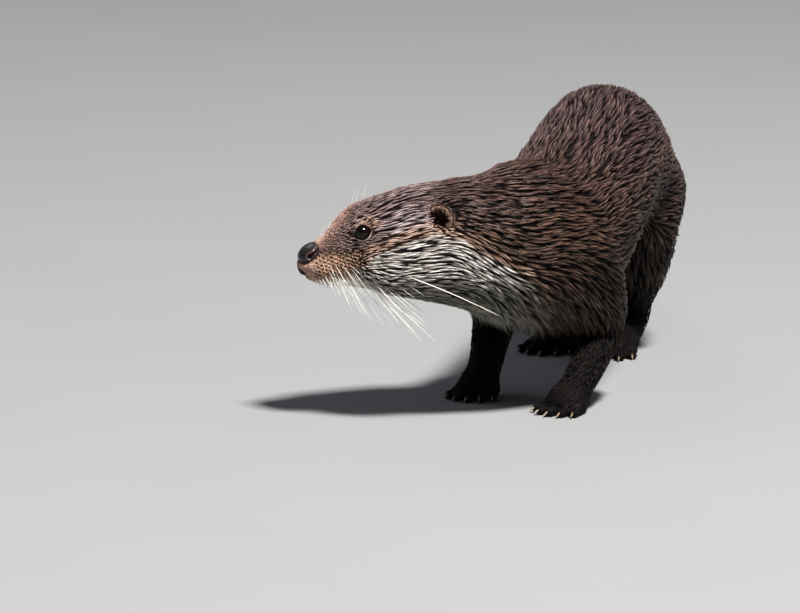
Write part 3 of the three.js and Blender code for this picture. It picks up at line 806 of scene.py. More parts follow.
def surface_net(value: Array, low: Array, cell: float) -> tuple[Array, Array]:
    """The surface where a lattice's values are 0. Each cell that it crosses has a vertex, at the mean of
    the crossings of its edges, and each crossed edge has a four-sided face round it.

    Args:
        value: at every node, negative inside.
        low: lowest corner of the lattice.
        cell: spacing.

    Returns:
        Vertices (n, 3) and faces (m, 4).
    """
    cells = np.array(value.shape) - 1
    total, count = np.zeros((*cells, 3)), np.zeros(cells)
    crossed = []
    for axis in range(3):
        lower = value.take(np.arange(cells[axis]), axis)
        upper = value.take(np.arange(1, cells[axis] + 1), axis)
        node = np.argwhere((lower < 0) != (upper < 0))
        a, b = lower[tuple(node.T)], upper[tuple(node.T)]
        place = node.astype(float)
        place[:, axis] += a / (a - b)
        corners = []
        for u, v in ((0, 0), (1, 0), (1, 1), (0, 1)):
            home = node.copy()
            home[:, (axis + 1) % 3] -= u
            home[:, (axis + 2) % 3] -= v
            np.add.at(total, tuple(home.T), place)
            np.add.at(count, tuple(home.T), 1)
            corners.append(home)
        crossed.append((corners, a < 0))
    index = np.full(cells, -1)
    index[count > 0] = np.arange((count > 0).sum())
    vertices = low + cell * total[count > 0] / count[count > 0][:, None]
    faces = []
    for corners, inside in crossed:
        ring = np.stack([index[tuple(corner.T)] for corner in corners], axis=1)
        faces.append(np.where(inside[:, None], ring, ring[:, ::-1]))
    return vertices, np.concatenate(faces)


def refined(mesh: Mesh, chosen: Callable[[Array], Array]) -> None:
    """Halves every edge whose two ends are chosen, and fills the faces to match.

    Args:
        mesh: is changed in place.
        chosen: says of (n, 3) places which are.
    """
    work = bmesh.new()
    work.from_mesh(mesh)
    places = np.array([vertex.co for vertex in work.verts])
    flags = chosen(places)
    edges = [edge for edge in work.edges if flags[edge.verts[0].index] and flags[edge.verts[1].index]]
    bmesh.ops.subdivide_edges(work, edges=edges, cuts=1, use_grid_fill=True)
    bmesh.ops.triangulate(work, faces=[face for face in work.faces if len(face.verts) > 4])
    work.to_mesh(mesh)
    work.free()


def read(items: bpy_prop_collection, name: str, width: int, kind: type = float) -> Array:
    """An attribute of all items, as (n, width)."""
    flat = np.empty(len(items) * width, kind)
    items.foreach_get(name, flat)
    return flat.reshape(-1, width)


# ---- colour


def srgb(code: str) -> Array:
    """Linear red, green and blue of an sRGB hex value such as #4a382f."""
    parts = np.array([int(code[i : i + 2], 16) / 255 for i in (1, 3, 5)])
    return np.where(parts <= 0.04045, parts / 12.92, ((parts + 0.055) / 1.055) ** 2.4)


def blended(first: str, second: str, share: Array) -> Array:
    """Linear colours between two sRGB hex values, for shares whose last axis has length 1."""
    return srgb(first) + (srgb(second) - srgb(first)) * share


def laid(colours: Array, code: str, weight: Array) -> Array:
    """Colours (n, 3) with an sRGB hex value laid over them, as thick as the (n,) weights say."""
    return colours + (srgb(code) - colours) * weight[:, None]


@dataclass(frozen=True)
class Hue:
    """Colours of one marking, from the root of a hair through its middle to its tip. The dark roots are
    partly painted shade deep in the coat, and the pale tips are partly painted light on the locks.
    """

    root: str
    middle: str
    tip: str

    def table(self) -> Array:
        """(3, 3) of linear colours."""
        return np.array([srgb(self.root), srgb(self.middle), srgb(self.tip)])


BACK = Hue("#170c0b", "#3f2b26", "#95766d")
# Hump: its own brown, with a lilac-grey cast that is painted sheen from the sky.
HUMP_WITH_SHEEN = Hue("#1b1110", "#473533", "#907776")
FLANK = Hue("#100806", "#34221b", "#a27f6b")
# Painted shade: near black for fur low on the body that faces sideways or down.
UNDER_SHADE = Hue("#060403", "#140d0a", "#42301f")
# Crown: dark brown, with pale lilac tips that are partly painted sheen of wet fur.
CROWN_WITH_SHEEN = Hue("#281d1c", "#665250", "#d2b8b8")
# Painted highlight: bluish-white sheen on the wet locks behind the eye.
TEMPLE_SHEEN = Hue("#453a3c", "#c2aeb1", "#fff8fc")
MASK = Hue("#221816", "#5d4a43", "#c0a8a2")
BRIDGE = Hue("#2c1d19", "#805f54", "#deb9ad")
BLAZE = Hue("#6f5348", "#cba597", "#f8ddd1")
PAD = Hue("#8d6a54", "#cda388", "#f4cfb6")
FRINGE = Hue("#5a4f46", "#cfc3b4", "#fffaf2")
PALE = Hue("#3a3431", "#d2c8c0", "#fffdfb")
TAN = Hue("#54392b", "#c4987e", "#ffe8d4")
# Painted shade: the pale coat dulled to grey-green where it lies in shade.
THROAT_IN_SHADE = Hue("#1d1c18", "#5d5c50", "#ccc9b8")
# Belly: its own brown, darkened as painted shade.
BELLY_IN_SHADE = Hue("#1a110e", "#483930", "#84705f")
# Legs and feet: near black, the coat's dark brown deepened as painted shade.
LEG_IN_SHADE = Hue("#050404", "#0e0a09", "#2a211c")
PAW_IN_SHADE = Hue("#050404", "#0c0908", "#1f1917")
TAIL = Hue("#120b09", "#33231b", "#70564a")

# Edge between brown and pale on the side of the head and neck: distance behind the nose, and height.
PALE_EDGE = (
    (30, -16), (42, -8), (52, 0), (72, 8), (100, 12), (112, 7),
    (126, -2), (143, -13), (158, -27), (172, -50), (182, -80),
)


def markings(points: Array, normals: Array) -> Array:
    """The coat's colours at places on the body, made by laying one marking over another with soft edges.
    Among them are painted shade on fur low on the body, the lower throat, belly, legs and feet, and painted
    sheen on the hump, crown and temples.

    Args:
        points: (n, 3) in mm.
        normals: unit normals.

    Returns:
        (n, 3, 3): for each place the linear colours of root, middle and tip.
    """
    back, left, up = HEAD.local(points).T
    x, y, z = points.T
    wander = smooth_noise(points, 9, 3) * 3 + smooth_noise(points, 3.5, 4) * 1.6
    colours = np.repeat(BACK.table()[None], len(points), axis=0)

    def lay(hue: Hue, weight: Array) -> None:
        """Lays one marking over what is there."""
        nonlocal colours
        colours += (hue.table()[None] - colours) * np.clip(weight, 0, 1)[:, None, None]

    sideways = ramp(0.25, 0.75, 1 - np.abs(normals[:, 2]))
    lay(FLANK, sideways * ramp(150, 60, y) * 0.85)
    # Painted shade: fur low on the body that faces sideways or down is laid near black.
    under = ramp(0.45, -0.15, normals[:, 2])
    lay(UNDER_SHADE, under * ramp(-95, -30, y) * ramp(185, 118, z) * 0.92)
    # Hump: its own brown, with a lilac-grey cast on fur that faces up, painted as sheen from the sky.
    lay(HUMP_WITH_SHEEN, ramp(-40, 70, y) * ramp(330, 250, y) * ramp(-0.1, 0.5, normals[:, 2]))
    # Fur that faces down on the belly: its own brown, darkened as painted shade.
    lay(BELLY_IN_SHADE, ramp(-0.35, -0.8, normals[:, 2]) * ramp(20, 80, y))
    lay(TAIL, ramp(300, 360, y))
    height = np.interp(back, *np.array(PALE_EDGE, float).T)
    above = up - height + wander
    # Crown: dark brown, with pale lilac tips that are partly painted sheen of wet fur.
    lay(CROWN_WITH_SHEEN, ramp(108, 84, back) * ramp(4, 14, up))
    # Painted highlight: bluish-white sheen on the wet locks behind the eye.
    lay(TEMPLE_SHEEN, bell(np.hypot((back - 73) / 1.8, up - 18), 9) * 0.95)
    band = ramp(28, 40, back) * ramp(190, 150, back)
    lay(TAN, ramp(14, 3, above) * band * (0.85 - 0.45 * ramp(95, 130, back)))
    pale = ramp(2.5, -2.5, above) * ramp(205, 150, back)
    lay(PALE, pale)
    # Painted shade: the pale coat turns dull grey-green low on the throat.
    lay(THROAT_IN_SHADE, pale * ramp(-18, -34, up + wander))
    chest = ramp(130, 180, back) * ramp(110, 40, y)
    # The chest's underside: belly brown, darkened as painted shade.
    lay(BELLY_IN_SHADE, ramp(-0.1, -0.7, normals[:, 2]) * chest * 0.8)
    muzzle = ramp(46, 34, back + wander)
    lay(MASK, muzzle * ramp(-1, 5, up))
    lay(BRIDGE, muzzle * ramp(18, 11, np.abs(left)) * ramp(2, 8, up))
    lay(BLAZE, bell(np.hypot(back - 15, (np.abs(left) - 3) / 1.2), 5) * ramp(0, 5, up))
    lay(PAD, muzzle * ramp(6, -1, up + wander * 0.5) * ramp(-21, -15, up))
    lay(BLAZE, bell(lengths(HEAD.local(points) * [1, 0, 1.2] - [8, 0, -8]), 5))
    lay(FRINGE, muzzle * ramp(-14.5, -18, up))
    for side in SIDES.values():
        beside_eye = HEAD.point(np.add(EYE_AT, (5, 0, 5)), side)
        lay(TAN, bell(lengths(points - beside_eye), 7) * 0.7)
    limb = ramp(78, 50, z) * ramp(330, 290, y) * ramp(-95, -70, y)
    # Legs and feet: the coat's dark brown, deepened to near black as painted shade.
    lay(LEG_IN_SHADE, limb * ramp(-120, -60, x))
    lay(PAW_IN_SHADE, ramp(38, 22, z) * limb)
    return colours


# ---- features of the face on the skin


@dataclass(frozen=True)
class Socket:
    """A round or oval opening in the head, with its axis pointing out of the skin.

    ahead and above are the two directions across it, and squash is its height over its width.
    """

    centre: Array
    axis: Array
    ahead: Array
    above: Array
    squash: float = 1.0

    @classmethod
    def for_eye(cls, side: int) -> "Socket":
        """An eye's, with ahead towards the nose and above towards the crown.

        Args:
            side: 1 for the left and -1 for the right.

        Returns:
            The socket.
        """
        out = HEAD.vector(GAZE, side)
        ahead = unit(-HEAD.axes[0] + out * (HEAD.axes[0] @ out))
        above = np.cross(out, ahead) * side
        return cls(HEAD.point(EYE_AT, side), out, ahead, above * np.sign(above[2]))

    @classmethod
    def for_ear(cls, side: int) -> "Socket":
        """An ear's, with ahead along the mouth of the cup and above up it.

        Args:
            side: 1 for the left and -1 for the right.

        Returns:
            The socket.
        """
        out = HEAD.vector(EAR_MOUTH, side)
        wide = unit(np.cross(HEAD.vector(EAR_LEAN, side), out))
        wide = wide * -np.sign(wide @ HEAD.axes[0])
        high = np.cross(out, wide)
        return cls(HEAD.point(EAR_AT, side), out, -wide, high * np.sign(high[2]), EAR_HEIGHT)

    def split(self, points: Array) -> tuple[Array, Array, Array]:
        """Radius from the axis, angle from ahead towards above, and height along the axis."""
        off = points - self.centre
        forward, upward = off @ self.ahead, off @ self.above / self.squash
        return np.hypot(forward, upward), np.arctan2(upward, forward), off @ self.axis

    def look(self, points: Array) -> tuple[Array, Array, Array]:
        """Radius, angle, and which places are on the opening's own side of the head."""
        radius, angle, height = self.split(points)
        return radius, angle, np.abs(height) < SOCKET_REACH

    def place(self, forward: Array, upward: Array, height: Array) -> Array:
        """Places of given distances ahead, above and along the axis."""
        off = forward[..., None] * self.ahead + (upward * self.squash)[..., None] * self.above
        return self.centre + off + height[..., None] * self.axis


def eye_opening(angle: Array) -> Array:
    """Radius of the gap between the lids: round, drawn out towards the nose and a little behind."""
    front = bell(np.angle(np.exp(1j * (angle + 0.3))), 0.33)
    rear = bell(np.angle(np.exp(1j * (angle - math.pi + 0.1))), 0.45)
    return EYE_OPENING + 1.9 * front + 0.5 * rear


class Face:
    """The folds, lids and sockets of the head, as moves of the skin's vertices."""

    def __init__(self) -> None:
        """Places the openings."""
        self.eyes = [Socket.for_eye(side) for side in SIDES.values()]
        self.ears = [Socket.for_ear(side) for side in SIDES.values()]

    def openings(self, for_eye: float, for_ear: float) -> list[tuple[Socket, float]]:
        """The openings, each with the value for its kind."""
        return [*((eye, for_eye) for eye in self.eyes), *((ear, for_ear) for ear in self.ears)]

    def near(self, points: Array, for_eye: float, for_ear: float) -> Array:
        """Which places are less than a reach from an opening's axis, on its own side of the head.

        Args:
            points: (n, 3) in mm.
            for_eye: reach for the eyes.
            for_ear: reach for the ears.

        Returns:
            (n,) yes or no.
        """
        close = np.zeros(len(points), bool)
        for socket, reach in self.openings(for_eye, for_ear):
            radius, _, beside = socket.look(points)
            close |= (radius < reach) & beside
        return close

    def near_detail(self, points: Array) -> Array:
        """Which places need a finer mesh: round the eyes, ears, nose and lips."""
        back, _, up = HEAD.local(points).T
        return ((back < 22) & (up < 14)) | self.near(points, 11.0, 13.0)

    def near_lids(self, points: Array) -> Array:
        """Which places need the finest mesh."""
        return self.near(points, 9.0, 0.0)

    def shaped(self, points: Array, normals: Array) -> Array:
        """Makes the folds and lids, and sinks sockets under the ears.

        Args:
            points: places on the skin.
            normals: unit normals there.

        Returns:
            The moved places.
        """
        points = self.folded(points, normals)
        for ear in self.ears:
            radius, _, height = ear.split(points)
            floor = -EAR_DEPTH * np.sqrt(np.maximum(1 - (radius / (EAR_RADIUS + 1)) ** 2, 0)) - 1.0
            share = ramp(0.97, 0.88, radius / EAR_RADIUS) * (np.abs(height) < SOCKET_REACH)
            points = points + ear.axis * ((floor - height) * share * (height > floor))[:, None]
        return points

    def folded(self, points: Array, normals: Array) -> Array:
        """Moves places on the skin: a groove for the mouth, a hollow before the eyes and lids over them.

        Args:
            points: places on the skin.
            normals: their unit normals.

        Returns:
            The moved places.
        """
        back, left, up = HEAD.local(points).T
        lip_height = -14.2 - 0.09 * back
        under = ramp(0.2, -0.2, normals @ HEAD.axes[2])
        groove = bell(up - lip_height, 0.9) * ramp(40, 30, back) * under
        cleft = bell(left, 0.9) * ramp(12, 8, back)
        cleft *= ramp(-4, -8, up) * ramp(-18, -14, up)
        hollow = bell(lengths(HEAD.local(points) * [1, 0, 1] - [33, 0, 13]), 8)
        folds = -1.5 * groove - 0.9 * cleft - 1.1 * hollow * ramp(8, 14, np.abs(left))
        for eye in self.eyes:
            radius, angle, near = eye.look(points)
            folds += bell(radius - 11, 2.4) * near * (0.45 + 0.55 * np.sin(angle + 0.3)) * 1.1
            folds -= bell(radius - 8.4, 1.1) * near * 0.4
            crease = bell(np.sin(angle - math.pi + 0.12) * radius, 0.9) * (np.cos(angle) < 0)
            folds -= 0.7 * crease * near * ramp(7, 9, radius) * ramp(19, 13, radius)
        points = points + normals * folds[:, None]
        for eye in self.eyes:
            radius, angle, height = eye.split(points)
            shell = np.sqrt(np.maximum((EYE_RADIUS + 0.6) ** 2 - radius**2, 0.01))
            lid = -smooth_min(-height, -shell, 1.6)
            ball = np.sqrt(np.maximum(EYE_RADIUS**2 - radius**2, 0.0)) - 1.5
            wanted = ball + (lid - ball) * ramp(0.94, 1.03, radius / eye_opening(angle))
            share = ramp(10.5, 8.5, radius) * (np.abs(height) < 10)
            points = points + eye.axis * ((wanted - height) * share)[:, None]
        return points

    def leather(self, points: Array) -> Array:
        """How far a place belongs to the bare black skin round the nose and on the lips.

        Args:
            points: (n, 3) in mm.

        Returns:
            (n,) from 0 to 1.
        """
        local = HEAD.local(points)
        nose = lengths((local - NOSE_AT) @ NOSE_AXES.T / [10.6, 15.8, 7.3])
        droop = local + UP * (0.022 * local[:, 1:2] ** 2)
        lip = lengths((droop - [1.5, 0, -10.2]) / [8.0, 8.6, 4.6])
        groove = lengths((local - [1.0, 0, -6.0]) / [6.0, 3.0, 5.5])
        lips = -np.logaddexp(-5 * lip, -5 * groove) / 5 + 0.1 * smooth_noise(points, 2.2, 13)
        return ramp(1.14, 0.98, np.minimum(nose, lips))

    def pad_spots(self, points: Array) -> Array:
        """The dark spots that whiskers leave on the pads: a lattice of rows that run back and down.

        Args:
            points: (n, 3) in mm.

        Returns:
            (n,) from 0 to 1.
        """
        back, _, up = HEAD.local(points).T
        sway = 0.55 * smooth_noise(points, 6, 11)
        row = (back * 0.42 + up * 0.91 + sway) / SPOT_ROWS
        place = (back * 0.91 - up * 0.42 - sway) / SPOT_STEP + 0.5 * (np.round(row) % 2)
        off_row, off_place = row - np.round(row), place - np.round(place)
        away = np.hypot(off_row * SPOT_ROWS, off_place * SPOT_STEP * 0.6)
        return ramp(1.0, 0.65, away) * self.on_pad(points)

    def on_pad(self, points: Array) -> Array:
        """Which places lie on the spotted part of the whisker pads."""
        back, left, up = HEAD.local(points).T
        zone = ramp(8, 11, back) * ramp(49, 43, back) * (np.abs(left) > 5)
        return zone * ramp(-14.5, -12, up) * ramp(5.5, 2.5, up - 2)

    def hairless(self, points: Array) -> Array:
        """How bare a place is: 1 between the lids, in the ears and on leather, 0 on the coat.

        Args:
            points: (n, 3) in mm.

        Returns:
            (n,) from 0 to 1.
        """
        bare = self.leather(points)
        for eye in self.eyes:
            radius, angle, near = eye.look(points)
            bare = np.maximum(bare, ramp(1.2, 1.1, radius / eye_opening(angle)) * near)
        for ear in self.ears:
            radius, _, near = ear.look(points)
            bare = np.maximum(bare, ramp(EAR_RADIUS, EAR_RADIUS - 1, radius) * near)
        return np.maximum(bare, 0.5 * self.pad_spots(points))

    def room(self, points: Array) -> Array:
        """How long hair may be so that it covers no eye or ear and leaves the spots clear.

        Args:
            points: (n, 3) in mm.

        Returns:
            (n,) in mm.
        """
        room = FAR + (2.6 - FAR) * np.sqrt(self.on_pad(points))
        for socket, radius in self.openings(EYE_OPENING, EAR_RADIUS - 1.5):
            off = points - socket.centre
            past = ramp(-4, 4, off @ HEAD.axes[0])
            room = np.minimum(room, 1.1 + np.maximum(lengths(off) - radius, 0) + 3 * past)
        return room

    def parting(self, points: Array) -> Array:
        """The push that turns hair aside round the eyes and ears. It closes again behind them.

        Args:
            points: (n, 3) in mm.

        Returns:
            (n, 3) directions with their strengths.
        """
        push = np.zeros_like(points)
        for socket, reach in self.openings(9.0, 10.0):
            off = points - socket.centre
            beside = ramp(0.6 * reach, -0.2 * reach, off @ HEAD.axes[0])
            push += unit(off) * (0.8 * beside * bell(lengths(off), reach))[:, None]
        return push


# ---- pieces


class Slot(Enum):
    """The record's material slots."""

    BODY = "body_coat"
    FACE = "face_coat"
    TAIL = "tail_coat"
    FOOT = "foot_coat"
    EYE = "eye"
    NOSE = "nose"
    CLAW = "claw"
    WHISKER = "whisker"


@dataclass(frozen=True)
class Placing:
    """The step from the animal's own frame, in mm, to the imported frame, in metres."""

    shift: Array

    @classmethod
    def of_frame(cls, frame: dict) -> "Placing":
        """Worked out from the left eye: it is a ball, so the mean of its corners is its centre."""
        corners = read(frame["nodes"]["eye_left"].data.vertices, "co", 3)
        shift = corners.mean(0) / MM - HEAD.point(EYE_AT)
        return cls(shift * LEVEL)

    def metres(self, points: Array) -> Array:
        """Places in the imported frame."""
        return (points + self.shift) * MM

    def own(self, mesh: Mesh) -> Array:
        """A mesh's vertices in the animal's own frame."""
        return read(mesh.vertices, "co", 3) / MM - self.shift


def new_mesh(name: str, vertices: Array, faces: Array, smooth: bool = True) -> Mesh:
    """A mesh from arrays.

    Args:
        name: of the mesh.
        vertices: (n, 3).
        faces: (m, 3) or (m, 4) corners of each face.
        smooth: whether faces are shaded smooth.

    Returns:
        The mesh.
    """
    mesh = bpy.data.meshes.new(name)
    sides = faces.shape[1]
    mesh.vertices.add(len(vertices))
    mesh.vertices.foreach_set("co", np.ascontiguousarray(vertices, np.float32).ravel())
    mesh.loops.add(faces.size)
    mesh.loops.foreach_set("vertex_index", np.ascontiguousarray(faces, np.int32).ravel())
    mesh.polygons.add(len(faces))
    mesh.polygons.foreach_set("loop_start", np.arange(0, faces.size, sides, dtype=np.int32))
    mesh.update(calc_edges=True)
    mesh.polygons.foreach_set("use_smooth", np.full(len(faces), smooth))
    return mesh


def paint(mesh: Mesh, colours: Array) -> None:
    """Stores colours of the vertices in the attribute Coat.

    Args:
        mesh: is changed in place.
        colours: (n, 3), linear.
    """
    attribute = mesh.color_attributes.new("Coat", "FLOAT_COLOR", "POINT")
    filled = np.ones((len(colours), 4), np.float32)
    filled[:, :3] = np.clip(colours, 0, 1)
    attribute.data.foreach_set("color", filled.ravel())


def add_piece(
    mesh: Mesh, material: Material, slot: Slot, replaced: Sequence[str] = ()
) -> Object:
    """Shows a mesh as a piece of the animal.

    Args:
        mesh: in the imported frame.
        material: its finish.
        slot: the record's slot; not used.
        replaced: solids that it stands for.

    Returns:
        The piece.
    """
    piece = bpy.data.objects.new(mesh.name, mesh)
    bpy.context.scene.collection.objects.link(piece)
    mesh.materials.append(material)
    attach(piece, "root")
    if replaced:
        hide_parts(*replaced)
    LOG.info("%s: %d faces", piece.name, len(mesh.polygons))
    return piece


# ---- materials


def add_node(tree: NodeTree, kind: str, inputs: dict | None = None, **settings) -> Node:
    """Adds a node.

    Args:
        tree: where it goes.
        kind: its type.
        inputs: for each input socket a value, or an output socket to link.
        settings: attributes of the node.

    Returns:
        The node.
    """
    node = tree.nodes.new(kind)
    for name, value in settings.items():
        setattr(node, name, value)
    for name, value in (inputs or {}).items():
        if isinstance(value, NodeSocket):
            tree.links.new(value, node.inputs[name])
        else:
            node.inputs[name].default_value = value
    return node


def new_material(name: str) -> tuple[Material, NodeTree]:
    """An empty material with nodes.

    Args:
        name: of the material.

    Returns:
        It and its nodes.
    """
    material = bpy.data.materials.new(name)
    material.use_nodes = True
    material.node_tree.nodes.clear()
    return material, material.node_tree


def finish_with(tree: NodeTree, inputs: dict) -> None:
    """Ends a tree in one principled shader."""
    shader = add_node(tree, "ShaderNodeBsdfPrincipled", inputs)
    add_node(tree, "ShaderNodeOutputMaterial", {"Surface": shader.outputs["BSDF"]})


@dataclass(frozen=True)
class CoatFinish:
    """A finish whose colours are those of the attribute Coat.

    film and film_roughness: how much of it lies under clear water, and how rough that is.
    strength, rise_mm and sunk: of its relief, whose heights go inwards where it is sunk.
    """

    name: str
    roughness: float
    index: float
    film: float = 0.0
    film_roughness: float = 0.2
    strength: float = 0.0
    rise_mm: float = 0.0
    sunk: bool = False

    def relief(self, tree: NodeTree, place: NodeSocket) -> NodeSocket:
        """The height of the relief, for finishes that have one."""
        raise NotImplementedError

    def build(self) -> Material:
        """One principled shader, coloured by the attribute and roughened by the relief.

        Returns:
            The material.
        """
        material, tree = new_material(self.name)
        coat = add_node(tree, "ShaderNodeAttribute", attribute_name="Coat")
        inputs = {
            "Base Color": coat.outputs["Color"],
            "Roughness": self.roughness,
            "IOR": self.index,
            "Coat Weight": self.film,
            "Coat Roughness": self.film_roughness,
        }
        if self.strength:
            place = add_node(tree, "ShaderNodeTexCoord").outputs["Object"]
            bump = add_node(tree, "ShaderNodeBump", {
                "Height": self.relief(tree, place),
                "Strength": self.strength,
                "Distance": self.rise_mm * MM,
            }, invert=self.sunk)
            inputs["Normal"] = bump.outputs["Normal"]
        finish_with(tree, inputs)
        return material


@dataclass(frozen=True)
class WetGuardHair(CoatFinish):
    """Guard hair just out of the water: keratin under a thin film, whose ridges catch sharp light."""

    name: str = "wet_guard_hair"
    roughness: float = 0.42
    index: float = 1.28
    film: float = 0.16


@dataclass(frozen=True)
class DampSkin(CoatFinish):
    """Damp skin under close fur: nearly black under-wool between locks, which is partly painted shade, and
    short flat hair on the feet.

    grain_mm: spacing of the short hairs, drawn twice as coarse as real so that it shows.
    """

    name: str = "damp_skin"
    roughness: float = 0.7
    index: float = 1.2
    strength: float = 0.5
    rise_mm: float = 0.4
    grain_mm: float = 0.5

    def relief(self, tree: NodeTree, place: NodeSocket) -> NodeSocket:
        """Noise drawn out across the height, for short hairs.

        Args:
            tree: the material's nodes.
            place: in the object's own frame.

        Returns:
            The height.
        """
        frequency = 1 / (self.grain_mm * MM)
        scale = (frequency, frequency * 0.3, frequency * 0.45)
        hairs = add_node(tree, "ShaderNodeMapping", {"Vector": place, "Scale": scale}).outputs["Vector"]
        noise = add_node(tree, "ShaderNodeTexNoise", {"Vector": hairs, "Scale": 1.0, "Detail": 3.0})
        return noise.outputs["Fac"]


@dataclass(frozen=True)
class MoistEye(CoatFinish):
    """Dark brown iris and black pupil under a clear wet cornea, which gives one sharp reflection."""

    name: str = "moist_eye"
    roughness: float = 0.2
    index: float = 1.15
    film: float = 0.4
    film_roughness: float = 0.08


@dataclass(frozen=True)
class NoseLeather(CoatFinish):
    """Bare black skin of the nose, moist, in fine round cobbles about half a millimetre wide."""

    name: str = "nose_leather"
    roughness: float = 0.42
    index: float = 1.3
    film: float = 0.35
    film_roughness: float = 0.1
    strength: float = 0.6
    rise_mm: float = 0.2
    sunk: bool = True
    cobble_mm: float = 0.55

    def relief(self, tree: NodeTree, place: NodeSocket) -> NodeSocket:
        """Distance from the middles of round cells."""
        scale = 1 / (self.cobble_mm * MM)
        return add_node(tree, "ShaderNodeTexVoronoi", {"Vector": place, "Scale": scale}).outputs["Distance"]


@dataclass(frozen=True)
class Horn(CoatFinish):
    """Horn of claws, dark where it leaves the toe and pale at the point, with a fine worn grain."""

    name: str = "claw_horn"
    roughness: float = 0.3
    index: float = 1.55
    strength: float = 0.3
    rise_mm: float = 0.1
    grain_per_m: float = 1800.0

    def relief(self, tree: NodeTree, place: NodeSocket) -> NodeSocket:
        """Fine noise."""
        noise = add_node(tree, "ShaderNodeTexNoise", {"Vector": place, "Scale": self.grain_per_m})
        return noise.outputs["Fac"]


@dataclass(frozen=True)
class WhiskerKeratin(CoatFinish):
    """Stiff cream-white hair, smooth enough to shine along its length."""

    name: str = "whisker_keratin"
    roughness: float = 0.32
    index: float = 1.55


@dataclass(frozen=True)
class StudioFloor:
    """Matt pale card, made as pulp board: even, with a faint mottle."""

    tone: str = "#8b8d8f"

    def build(self) -> Material:
        """One tone that is a little lighter in soft blots.

        Returns:
            The material.
        """
        material, tree = new_material("studio_card")
        place = add_node(tree, "ShaderNodeTexCoord")
        noise = add_node(tree, "ShaderNodeTexNoise", {
            "Vector": place.outputs["Object"],
            "Scale": 5.0,
            "Detail": 2.0,
        })
        blot = add_node(tree, "ShaderNodeMapRange", {
            "Value": noise.outputs["Fac"],
            "To Min": 0.97,
            "To Max": 1.03,
        })
        shade = add_node(tree, "ShaderNodeHueSaturation", {
            "Color": (*srgb(self.tone), 1),
            "Value": blot.outputs["Result"],
        })
        finish_with(tree, {"Base Color": shade.outputs["Color"], "Roughness": 0.9})
        return material


# ---- skin


FLESH_NODES = (
    "head", "neck", "chest", "loin", "rump", "tail_base", "tail_middle", "tail_tip",
    *(limb.name for limb in LIMBS), *(limb.foot_name for limb in LIMBS),
)


@dataclass
class Skin:
    """One skin over the whole animal, finer on the head and feet."""

    flesh: Flesh
    face: Face
    placing: Placing
    cell: float = 3.0
    low: Triple = (-178, -160, -4)
    high: Triple = (78, 694, 224)
    places: Array = field(init=False)
    triangles: Array = field(init=False)

    def build(self, material: Material) -> Object:
        """Meshes the skin, shapes its folds and paints it.

        Args:
            material: its finish.

        Returns:
            The piece.
        """
        low, size = np.array(self.low), np.subtract(self.high, self.low)
        shape = (np.ceil(size / self.cell / COARSE).astype(int) + 1) * COARSE + 1
        values = lattice_values(self.flesh.skin_distance, low, shape, self.cell)
        mesh = new_mesh("skin", *surface_net(values, low, self.cell))
        refined(mesh, self._head_or_foot)
        refined(mesh, self.face.near_detail)
        refined(mesh, self.face.near_lids)
        self.places, normals = self.flesh.settle(read(mesh.vertices, "co", 3))
        self.places = self.face.shaped(self.places, normals)
        mesh.vertices.foreach_set("co", self.placing.metres(self.places).astype(np.float32).ravel())
        mesh.update()
        mesh.polygons.foreach_set("use_smooth", np.full(len(mesh.polygons), True))
        mesh.calc_loop_triangles()
        self.triangles = read(mesh.loop_triangles, "vertices", 3, np.int32)
        paint(mesh, self._colours(normals))
        return add_piece(mesh, material, Slot.BODY, FLESH_NODES)

    def _head_or_foot(self, points: Array) -> Array:
        """Which places get the finer mesh."""
        return (HEAD.local(points)[:, 0] < 122) | ((points[:, 2] < 26) & (points[:, 1] < 275))

    def _colours(self, normals: Array) -> Array:
        """The coat's markings: dark under the fur, partly as the wet under-wool and partly as painted shade
        between the locks, and full where hair is shortest. Spots, leather, the dark edges of the lids,
        painted light on the upper lids and a painted highlight along the wet lower rims are laid over them.

        Args:
            normals: of the skin before it was folded.

        Returns:
            Linear colours of the vertices.
        """
        survey = self.flesh.survey(self.places)
        root, middle, _ = np.moveaxis(markings(self.places, normals), 1, 0)
        short = ramp(1.2, 0.5, survey.coat[:, 0])[:, None]
        # Under the fur the skin is painted at 0.4 of the roots' colour: partly the dark wet under-wool,
        # partly painted shade between the locks.
        colours = root * 0.4 * (1 - short) + middle * short
        colours *= 1 - 0.85 * self.face.pad_spots(self.places)[:, None]
        colours = laid(colours, "#231c1c", self.face.leather(self.places))
        for eye in self.face.eyes:
            radius, angle, near = eye.look(self.places)
            reach = radius / eye_opening(angle)
            lid = ramp(1.4, 1.2, reach) * near
            # Painted light: the upper lid is lighter than the lower.
            lit = blended("#3b2b24", "#8f6c5b", ramp(-0.2, 0.7, np.sin(angle))[:, None])
            colours += (lit - colours) * lid[:, None]
            colours = laid(colours, "#0d0a09", ramp(1.16, 1.06, reach) * near)
            # Painted highlight: a pale line along the wet lower and rear rims of the lids.
            low = ramp(-0.1, -0.7, np.sin(angle)) * ramp(0.75, 0.3, np.cos(angle))
            wet = bell(reach - 1.12, 0.055) * np.maximum(low, bell(angle + 2.45, 0.5)) * near
            colours = laid(colours, "#e6dace", 0.9 * wet)
            corner = bell(np.angle(np.exp(1j * (angle + 0.3))), 0.3) * ramp(1.5, 1.25, reach)
            colours = laid(colours, "#0b0908", corner * near)
        return colours


# ---- spindles: hairs, whiskers and claws

FLAT_PROFILE = np.array([[-1.0, 0.0], [0.0, 1.0], [1.0, 0.0]])


def round_profile(sides: int) -> Array:
    """Corners of a regular polygon, in the same turn as the flat profile."""
    turn = math.pi - np.arange(sides) * 2 * math.pi / sides
    return np.stack([np.cos(turn), np.sin(turn)], axis=1)


